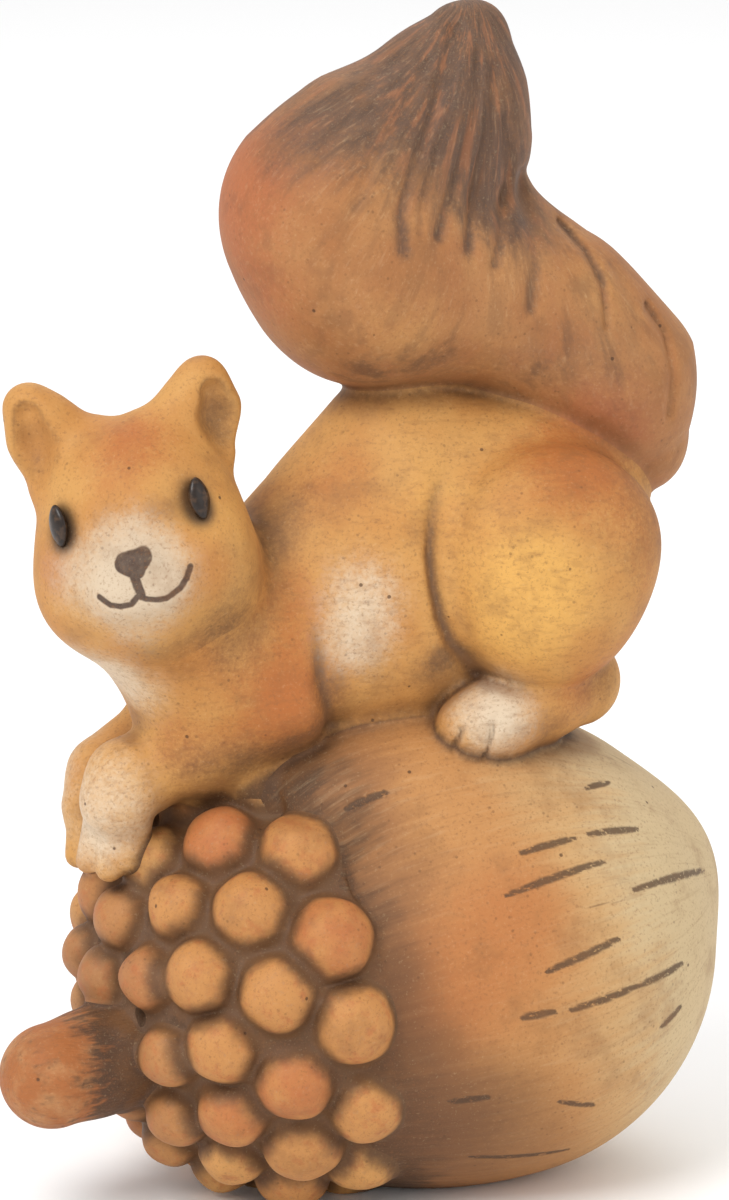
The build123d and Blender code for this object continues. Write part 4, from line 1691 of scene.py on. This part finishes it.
@dataclass
class Sculpture:
    """The parted skin, from which closed pieces are made."""

    skin: Skin
    labels: Array
    normals: Array
    names: list[str]
    measure: Field
    #: how far a piece's edge is drawn in before it is closed
    lip: float = 1.2
    sinking_step: float = 0.3
    sinking_rounds: int = 6

    def sunk(self, points: Array, depth: float = 8.0) -> Array:
        """Moves hidden points inwards until they lie deep enough under the surface.

        Args:
            points: the points, in millimetres.
            depth: how deep they should lie.

        Returns:
            The moved points.
        """
        for _ in range(self.sinking_rounds if len(points) else 0):
            near = points.astype(np.float32)
            slope = gradient(self.measure, near, self.sinking_step)
            slope /= np.linalg.norm(slope, axis=1, keepdims=True) + TINY
            points = points - slope * np.clip(self.measure(near) + depth, 0, 2)[:, None]
        return points

    def closing(self, rim: Rim, points: Array, normals: Array) -> tuple[Array, Array, Array]:
        """Works out the hidden walls that close a piece along its rim.

        Args:
            rim: the piece's open edges.
            points: its vertices, in millimetres.
            normals: their normals.

        Returns:
            The hidden vertices, the four-cornered walls down from the rim and the fans that close its rings.
        """
        order = np.array([vertex for ring in rim.rings.values() for vertex in ring], int)
        sunk = {vertex: len(points) + i for i, vertex in enumerate(order.tolist())}
        hubs = {head: len(points) + len(order) + i for i, head in enumerate(rim.rings)}
        lip = points[order] - normals[order] * self.lip
        middles = self.sunk(np.array([
            (points[ring] - normals[ring] * 2 * self.lip).mean(0) for ring in rim.rings.values()
        ]).reshape(-1, 3))
        walls = [(two, one, sunk[one], sunk[two]) for one, two in rim.pairs]
        fans = [(sunk[two], sunk[one], hubs[rim.leader(one)]) for one, two in rim.pairs]
        return np.concatenate([lip.reshape(-1, 3), middles]), np.array(walls, int), np.array(fans, int)

    @staticmethod
    def written(name: str, points: Array, fours: Array, threes: Array) -> bpy.types.Mesh:
        """Writes a mesh.

        Args:
            name: the mesh's name.
            points: its vertices, in millimetres.
            fours: its four-cornered faces.
            threes: its triangles.

        Returns:
            The mesh, in metres.
        """
        mesh = bpy.data.meshes.new(name)
        corners = np.concatenate([fours.ravel(), threes.ravel()])
        sizes = np.concatenate([np.full(len(fours), 4), np.full(len(threes), 3)])
        mesh.vertices.add(len(points))
        mesh.vertices.foreach_set("co", (points * MM).astype(np.float32).ravel())
        mesh.loops.add(len(corners))
        mesh.loops.foreach_set("vertex_index", corners.astype(np.int32))
        mesh.polygons.add(len(sizes))
        mesh.polygons.foreach_set("loop_start", (np.cumsum(sizes) - sizes).astype(np.int32))
        mesh.polygons.foreach_set("loop_total", sizes.astype(np.int32))
        mesh.update(calc_edges=True)
        mesh.polygons.foreach_set("use_smooth", np.ones(len(sizes), bool))
        return mesh

    def piece(self, name: str, masks: Masks) -> bpy.types.Object:
        """Makes one closed piece in the CAD's frame.

        Args:
            name: the CAD node that it stands for.
            masks: works out the masks to carry, from points in millimetres and normals.

        Returns:
            The piece, riding on the one body and standing for its node.
        """
        faces = self.skin.faces[self.labels == self.names.index(name)]
        used, flat = np.unique(faces, return_inverse=True)
        faces = flat.reshape(-1, 4)
        points, normals = self.skin.vertices[used], self.normals[used]
        hidden, walls, fans = self.closing(Rim(faces), points, normals)
        fours = np.concatenate([faces, walls.reshape(-1, 4)])
        mesh = self.written(f"{name}_form", np.concatenate([points, hidden]), fours, fans)
        mesh.normals_split_custom_set_from_vertices(np.concatenate([normals, np.zeros_like(hidden)]).tolist())
        for key, values in masks(points.astype(np.float32), normals).items():
            wide = values.ndim == 2
            spread = np.concatenate([values, np.zeros((len(hidden), *values.shape[1:]))]).astype(np.float32)
            layer = mesh.attributes.new(key, "FLOAT_VECTOR" if wide else "FLOAT", "POINT")
            layer.data.foreach_set("vector" if wide else "value", spread.ravel())
        return placed(f"{name}_sculpt", mesh, name)


def placed(label: str, mesh: bpy.types.Mesh, node: str) -> bpy.types.Object:
    """Puts a mesh into the scene in place of a CAD node.

    Args:
        label: the piece's own name.
        mesh: its mesh, in metres in the row frame.
        node: the CAD node that it stands for.

    Returns:
        The piece.
    """
    piece = bpy.data.objects.new(label, mesh)
    bpy.context.scene.collection.objects.link(piece)
    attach(piece, ROOT)
    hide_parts(node)
    return piece


@dataclass
class Sprays:
    """Airbrushed spots: rows of x, y, z from the nut's crown, radius and strength, in millimetres."""

    cream: Rows = (
        (-58.5, -28.4, 35, 8, 1.0), (-55, -27, 33.5, 7, 0.9), (-62, -26, 33.5, 7, 0.7),
        (-58.6, -27, 41, 6, 0.6), (-57, -23, 25, 5, 0.4), (-67.5, -20, 34, 8, 0.5),
        (-58.0, -10, 13.7, 9, 0.85), (-60, -8, 19, 6, 0.5), (-17.2, -18, 26.5, 7.5, 0.6),
        (-17.8, -17, 18.5, 6.5, 0.6), (4.5, -21.8, 5.9, 6.5, 1.0), (4, -16, 3, 6, 0.8),
        (-57.1, -9, -5.7, 6.5, 0.75), (-60, -6.6, -12.9, 6, 0.6), (-57, 12, -12, 7, 0.7),
    )
    gold: Rows = (
        (8.8, -27, 29.7, 10, 1.0), (7.3, -26.4, 22.9, 9, 1.0), (-44, -20, 42, 8, 0.4),
        (-10, -15.7, 70, 10, 0.5), (27, -9, 74, 9, 0.5), (-4, -18, 42, 9, 0.4),
    )
    blush: Rows = (
        (19, -19, 46, 12, 0.85), (26.8, -8, 50, 10, 0.8), (29.7, -20.9, 33.8, 9, 0.5),
        (-28.5, -14.2, 25.8, 9, 0.5), (-30.5, -18.9, 11.9, 9, 0.9), (-27, -16, 4, 7, 0.6),
        (26, -18, 22, 8, 0.45), (-47.3, -14.1, 2.6, 7, 0.5), (-36, -17.4, 3.4, 6, 0.4),
        (-33.6, -2.5, 93.9, 12, 1.0), (-30.9, -6.3, 76.2, 10, 0.6), (-45, -16, 20, 7, 0.5),
        (19.8, -19.9, 10.4, 7, 0.6), (-19.5, -6.7, 43.9, 8, 0.4),
    )
    face_blush: Rows = (
        (-54.5, -14.4, 53.3, 7, 0.8), (-58, -16, 48, 6, 0.4), (-68, -14.8, 33.5, 5, 0.6),
        (-44.2, -25.8, 36, 5, 0.35),
    )
    dark: Rows = (
        (5.8, -2.8, 113, 13, 0.95), (-1.9, -9, 106, 12, 0.8), (8, -6, 98, 10, 0.8),
        (-10, -8, 107, 11, 0.75), (-20, -8, 104.5, 10, 0.7), (-27, -6, 101, 8, 0.45), (3, -9, 95, 8, 0.6),
        (8, -8, 89.7, 7, 0.7), (14.5, -6, 88.5, 9, 0.9), (-8, -12, 95, 8, 0.35), (23, -9, 66, 9, 0.35),
        (-2, -12, 61, 8, 0.5), (-14, -10, 62, 7, 0.45), (12, -13, 60, 7, 0.45), (31, -8, 56, 8, 0.3),
    )
    # painted shade where the body meets the nut, under the head and chest and behind the thigh
    soil: Rows = (
        (-2.5, -19, 14.2, 4.2, 0.8), (-5.5, -20, 10.6, 4.5, 0.7), (-12, -20, 7.5, 4, 0.6),
        (-21, -17, 3.4, 5.5, 0.8), (-22.5, -18, 11.5, 4, 0.65), (-29, -16, 0.5, 5, 0.7),
        (-37, -14, -0.5, 5, 0.6), (-7.5, -19, 37, 4.0, 0.4), (-28, -9, 43, 6, 0.6), (-31, -10, 36, 6, 0.45),
        (28, -14, 38, 10, 0.5), (33, -10, 26, 8, 0.3), (24, -16, 10, 6, 0.45), (14, -21, 1.5, 5, 0.5),
        (-40, -18, 21, 7, 0.45), (-45, -14, -1, 6, 0.4),
    )
    shade: Rows = (
        (-40, -22, 22, 6, 0.5), (-38, -16, 30, 7, 0.35), (-48, -22, 47, 5, 0.3), (-55, -22, 20, 5, 0.35),
        (-39.5, -9.5, 57.5, 3.8, 0.55), (-40, -10, 53, 3.8, 0.4), (-70.4, -6.5, 54.5, 2.6, 0.3),
        (-69, -7, 49.5, 2.6, 0.3), (-46.5, -19, 25, 7, 0.45), (-53, -24, 43.5, 3.5, 0.3),
        (-42, -20, 32, 6, 0.3),
    )
    #: the most that one spray covers, and how sharply sprays end
    fullest: float = 0.97
    edge: float = 1.15

    def laid(self, points: Array, spots: Rows, mirror: float | None = None) -> Array:
        """How much paint reaches each point.

        Args:
            points: points in millimetres from the nut's crown.
            spots: the sprays.
            mirror: y of the plane that the sprays are repeated behind, if they are.

        Returns:
            A share from 0 to 1 for each point.
        """
        bare = np.ones(len(points), np.float32)
        for x, y, z, radius, strength in spots:
            for side in (y,) if mirror is None else (y, 2 * mirror - y):
                near = ((points - np.float32([x, side, z])) ** 2).sum(1) / radius**2
                bare *= 1 - np.minimum(strength, self.fullest) * np.exp(-(near**self.edge))
        return 1 - bare


@dataclass
class Painter:
    """Works out what each piece carries on its vertices and gives it its finish."""

    figurine: Figurine
    sprays: Sprays = field(default_factory=Sprays)
    #: how far out of the surface creases, hollows and the seams to other pieces are felt for, to lay painted
    #: shade there
    crease_reach: float = 1.5
    hollow_reach: float = 6.0
    seam_reach: float = 2.6
    #: seed of the knobs' tones
    knob_tones: int = 7
    #: how far behind the cap's middle the knobs start to darken, and over what length they do
    knob_dusk: tuple[float, float] = (12, 26)
    #: the painted shade at a knob's foot: strength, margins at nut and neighbours, the neighbours' share, and
    #: length
    knob_foot: tuple[float, ...] = (1.25, 0.4, 0.2, 0.75, 2.9)
    #: how far left of the origin the stem's painted shade starts, and over what length it deepens
    stem_root: tuple[float, float] = (64, 11)
    #: heights of a ring's two spots, and how far up and ahead both are moved, their radius and strength
    eye_rings: tuple[float, ...] = (-1.6, 1.4)
    ring_spot: tuple[float, ...] = (-0.2, 0.6, 2.9, 0.9)
    #: height from which the locks darken, over what length, their least share and strength
    lock_shade: tuple[float, ...] = (60, 15, 0.4, 0.75)
    #: which way the eyes look, how far they lean, and how much their ends are narrowed
    eye_outward: tuple[float, ...] = (0.75, 0.12, 0.66)
    eye_lean: float = 0.16
    eye_taper: float = 0.22

    def depths(self, points: Array, normals: Array) -> dict[str, Array]:
        """Masks for creases and wider hollows, where painted shade is laid.

        Args:
            points: the piece's vertices, in millimetres.
            normals: their normals.

        Returns:
            The masks, by name.
        """
        measure, normals = self.figurine.distance, normals.astype(np.float32)
        return {name: np.clip(1 - measure(points + normals * reach) / reach, 0, 1)
                for name, reach in (("crease", self.crease_reach), ("hollow", self.hollow_reach))}

    def touching(self, forms: dict[str, Array]) -> Array:
        """How close points are to any of some forms, 1 where they touch."""
        nearest = np.minimum.reduce(list(forms.values()))
        return np.clip(1 - nearest / self.seam_reach, 0, 1)

    def nut(self, points: Array, normals: Array) -> dict[str, Array]:
        """Masks of the nut, with the streaks cut along it.

        Args:
            points: the piece's vertices, in millimetres.
            normals: their normals.

        Returns:
            The masks, by name.
        """
        acorn, above = self.figurine.acorn, self.figurine.above(points)
        return self.depths(points, normals) | {
            "grain": acorn.grain(points),
            "streak": acorn.streaks(points),
            "blush": self.sprays.laid(above, acorn.glow, 0.0),
            # painted shade along the seam where the squirrel meets the nut
            "seam": self.touching(self.figurine.squirrel.forms(above)),
            # painted shade low on the nut and beside the cap
            "dark": self.sprays.laid(above, acorn.dusk, 0.0),
        }

    def knobs(self, points: Array, normals: Array) -> dict[str, Array]:
        """Masks of the knobs, each with a tone of its own, and painted shade at their feet.

        Args:
            points: the piece's vertices, in millimetres.
            normals: their normals.

        Returns:
            The masks, by name.
        """
        acorn = self.figurine.acorn
        tone, best = np.zeros(len(points), np.float32), np.full(len(points), FAR, np.float32)
        second = best
        shades = np.random.default_rng(self.knob_tones)
        for middle, radius in (knob for ring in acorn.placed for knob in ring):
            shade = shades.uniform(0, 1)
            near = ball(points, middle, radius)
            tone = np.where(near < best, shade, tone)
            second = np.minimum(second, np.maximum(near, best))
            best = np.minimum(near, best)
        place, _ = acorn.along_and_out(points, acorn.cap_middle)
        start, length = self.knob_dusk
        reach, over_nut, aside, share, fade = self.knob_foot
        ground = acorn.cap(points), acorn.nut(points) + over_nut, (second - best) * share + aside
        return self.depths(points, normals) | {
            "tone": tone,
            "dark": np.clip(-(place + start) / length, 0, 1),
            "foot": np.clip(reach - np.minimum.reduce(ground) / fade, 0, 1),
        }

    def stem(self, points: Array, normals: Array) -> dict[str, Array]:
        """Masks of the stem, with painted shade where it leaves the cap."""
        place, length = self.stem_root
        return self.depths(points, normals) | {"dark": np.clip((points[:, 0] + place) / length, 0, 1)}

    def fur(self, points: Array, normals: Array) -> dict[str, Array]:
        """Masks of the body, the limbs and the feet.

        Args:
            points: the piece's vertices, in millimetres.
            normals: their normals.

        Returns:
            The masks, by name.
        """
        squirrel, sprays = self.figurine.squirrel, self.sprays
        above = self.figurine.above(points)
        masks = {name: sprays.laid(above, getattr(sprays, name), squirrel.middle_y)
                 for name in ("cream", "gold", "blush", "soil")}
        # painted shade along the drawn creases, and where the body meets the nut, under the head and behind
        # the thigh
        masks["dark"] = np.maximum(squirrel.crease(above) / self.crease_reach, masks.pop("soil"))
        # painted shade along the seam where the fur meets the acorn
        masks["seam"] = self.touching(self.figurine.acorn.forms(points))
        return self.depths(points, normals) | masks

    def face(self, points: Array, normals: Array) -> dict[str, Array]:
        """Masks of the head and the ears, with dark rings round the eyes.

        Args:
            points: the piece's vertices, in millimetres.
            normals: their normals.

        Returns:
            The masks, by name.
        """
        squirrel, sprays = self.figurine.squirrel, self.sprays
        above = self.figurine.above(points)
        across, up, ahead = squirrel.eye
        higher, before, radius, strength = self.ring_spot
        rings = [(*squirrel.on_face(side * across, up + higher + rise, ahead + before), radius, strength)
                 for side in (-1, 1) for rise in self.eye_rings]
        spots = {"cream": sprays.cream, "gold": sprays.gold, "blush": sprays.face_blush + sprays.blush,
                 "dark": sprays.shade, "ring": rings}
        return self.depths(points, normals) | {name: sprays.laid(above, rows) for name, rows in spots.items()}

    def tail(self, points: Array, normals: Array) -> dict[str, Array]:
        """Masks of the tail, with the direction of its strands.

        Args:
            points: the piece's vertices, in millimetres.
            normals: their normals.

        Returns:
            The masks, by name.
        """
        tail, sprays = self.figurine.tail, self.sprays
        above = self.figurine.above(points)
        low, over, least, strength = self.lock_shade
        locks = tail.hair(above) * np.clip((above[:, 2] - low) / over, least, 1) * strength
        masks = {name: sprays.laid(above, getattr(sprays, name), self.figurine.squirrel.middle_y)
                 for name in ("gold", "blush", "dark")}
        return self.depths(points, normals) | masks | {
            "comb": tail.combed(above),
            "cream": np.zeros(len(points), np.float32),
            "dark": np.maximum(masks["dark"], locks),
        }

    def dress(self, sculpture: Sculpture) -> None:
        """Makes every piece with its masks and puts its finish on.

        Args:
            sculpture: the parted skin.
        """
        figurine = self.figurine
        plans: tuple[tuple[Slot, tuple[str, ...], Masks, bpy.types.Material], ...] = (
            (Slot.NUT, ("acorn_nut",), self.nut, NutPaint().banded(figurine.acorn)),
            (Slot.CAP, ("acorn_cap",), self.depths, CapPaint().made()),
            (Slot.KNOBS, ("cap_knobs",), self.knobs, KnobPaint().made()),
            (Slot.STEM, ("acorn_stem",), self.stem, StemPaint().made()),
            (Slot.FUR, ("squirrel_body", "fore", "haunch", "hind_foot"), self.fur, FurPaint().made()),
            (Slot.FACE, ("squirrel_head", "ear"), self.face, FacePaint().drawn(figurine.squirrel)),
            (Slot.TAIL, ("tail",), self.tail, TailPaint().made()),
        )
        for slot, starts, masks, finish in plans:
            for name in (name for name in sculpture.names if name.startswith(starts)):
                piece = sculpture.piece(name, masks)
                piece.data.materials.append(finish)
                log.info("%s: %d faces in %s", piece.name, len(piece.data.polygons), slot.value)

    def eye_axes(self, side: int) -> Array:
        """Works out how one eye lies in its socket.

        Args:
            side: 1 for the squirrel's left eye, -1 for its right one.

        Returns:
            Rows of the eye's axes: sideways, up and outwards.
        """
        across, up, ahead = self.eye_outward
        outward = np.array([side * across, up, ahead])
        outward /= np.linalg.norm(outward)
        aside = np.cross([self.eye_lean * side, 1.0, 0.0], outward)
        aside /= np.linalg.norm(aside)
        return np.array([aside, np.cross(outward, aside), outward]) @ self.figurine.squirrel.face_axes

    def eyes(self) -> None:
        """Makes both eyes, glazed drops that lie in their sockets."""
        squirrel = self.figurine.squirrel
        finish = EyeGloss().made()
        across, up, ahead = squirrel.eye
        for side, node in ((1, "eye_left"), (-1, "eye_right")):
            axes = self.eye_axes(side)
            middle = np.array(squirrel.crown) + squirrel.on_face(side * across, up, ahead)
            form = bmesh.new()
            bmesh.ops.create_icosphere(form, subdivisions=4, radius=1)
            for vertex in form.verts:
                one, two, out = vertex.co
                one *= 1 - self.eye_taper * two * two
                shape = np.array([one, two, out]) * squirrel.eye_radii
                vertex.co = Vector((middle + shape @ axes) * MM)
            mesh = bpy.data.meshes.new(f"{node}_form")
            form.to_mesh(mesh)
            form.free()
            mesh.polygons.foreach_set("use_smooth", np.ones(len(mesh.polygons), bool))
            mesh.materials.append(finish)
            placed(f"{node}_glaze", mesh, node)
            log.info("%s: %d faces in %s", node, len(mesh.polygons), Slot.EYES.value)


@dataclass
class Studio:
    """Pale floor, soft lights and the camera at the photograph's angle, in metres and degrees."""

    target: tuple[float, float, float] = (-0.0081, 0.0, 0.1)
    azimuth: float = -16.0
    elevation: float = 13.0
    distance: float = 1.0
    lens: float = 179.25
    floor_size: float = 6.0
    #: how far the floor lies under the foot
    floor_drop: float = 0.0002
    floor_tone: Paint = (0.97, 0.97, 0.97, 1.0)
    floor_shade: Paint = (0.94, 0.94, 0.94, 1.0)
    sky: float = 0.9
    clips: tuple[float, float] = (0.05, 20.0)
    #: azimuth, elevation, distance, size and watts of each light
    lights: tuple[tuple[float, ...], ...] = (
        (-50.0, 46.0, 1.3, 0.7, 9.0),
        (45.0, 20.0, 1.5, 1.1, 2.0),
        (165.0, 50.0, 1.4, 0.9, 3.0),
    )

    def at(self, azimuth: float, elevation: float, distance: float) -> Vector:
        """Finds a place on a sphere round the target.

        Args:
            azimuth: turn to the right, in degrees.
            elevation: height over the floor, in degrees.
            distance: how far from the target.

        Returns:
            The place.
        """
        turn, lift = math.radians(azimuth), math.radians(elevation)
        return Vector(self.target) + distance * Vector((
            math.sin(turn) * math.cos(lift), -math.cos(turn) * math.cos(lift), math.sin(lift)))

    def aimed(self, name: str, data: bpy.types.ID, place: Vector) -> bpy.types.Object:
        """Adds a camera or a light that looks at the target.

        Args:
            name: the object's name.
            data: the camera or the light.
            place: where it stands.

        Returns:
            The new object.
        """
        thing = bpy.data.objects.new(name, data)
        thing.location = place
        thing.rotation_euler = (Vector(self.target) - place).to_track_quat("-Z", "Y").to_euler()
        bpy.context.scene.collection.objects.link(thing)
        return thing

    def lay_floor(self) -> None:
        """Adds the pale floor."""
        form = bmesh.new()
        bmesh.ops.create_grid(form, x_segments=8, y_segments=8, size=self.floor_size / 2)
        mesh = bpy.data.meshes.new("floor_form")
        form.to_mesh(mesh)
        form.free()
        graph = Graph("floor_paper")
        paper = graph.mix(graph.noise(400.0, 2) * 0.04, self.floor_tone, self.floor_shade)
        mesh.materials.append(graph.end(paper, 0.9))
        floor = bpy.data.objects.new("floor", mesh)
        floor.location.z = -self.floor_drop
        bpy.context.scene.collection.objects.link(floor)

    def light(self) -> None:
        """Adds the soft lights and the sky."""
        for number, (azimuth, elevation, distance, size, watts) in enumerate(self.lights):
            light = bpy.data.lights.new(f"soft_light_{number}", "AREA")
            light.shape, light.size, light.energy = "DISK", size, watts
            self.aimed(light.name, light, self.at(azimuth, elevation, distance))
        world = bpy.data.worlds.new("soft_sky")
        world.use_nodes = True
        sky = world.node_tree.nodes["Background"]
        sky.inputs["Color"].default_value = (1, 1, 1, 1)
        sky.inputs["Strength"].default_value = self.sky
        bpy.context.scene.world = world

    def build(self) -> None:
        """Adds everything round the figurine."""
        self.lay_floor()
        self.light()
        scene, camera = bpy.context.scene, bpy.data.cameras.new("camera")
        camera.lens = self.lens
        camera.clip_start, camera.clip_end = self.clips
        scene.camera = self.aimed("camera", camera, self.at(self.azimuth, self.elevation, self.distance))
        scene.view_settings.view_transform = "Standard"


def main() -> None:
    """Builds the figurine round its CAD part, dresses it and sets the studio up."""
    logging.basicConfig(level=logging.INFO, format="%(name)s: %(message)s")
    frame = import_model()
    log.info("frame of %d nodes", len(frame["nodes"]))
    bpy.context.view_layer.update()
    figurine = Figurine()
    painter = Painter(figurine)
    painter.dress(figurine.sculpt())
    painter.eyes()
    Studio().build()


if __name__ == "__main__":
    main()
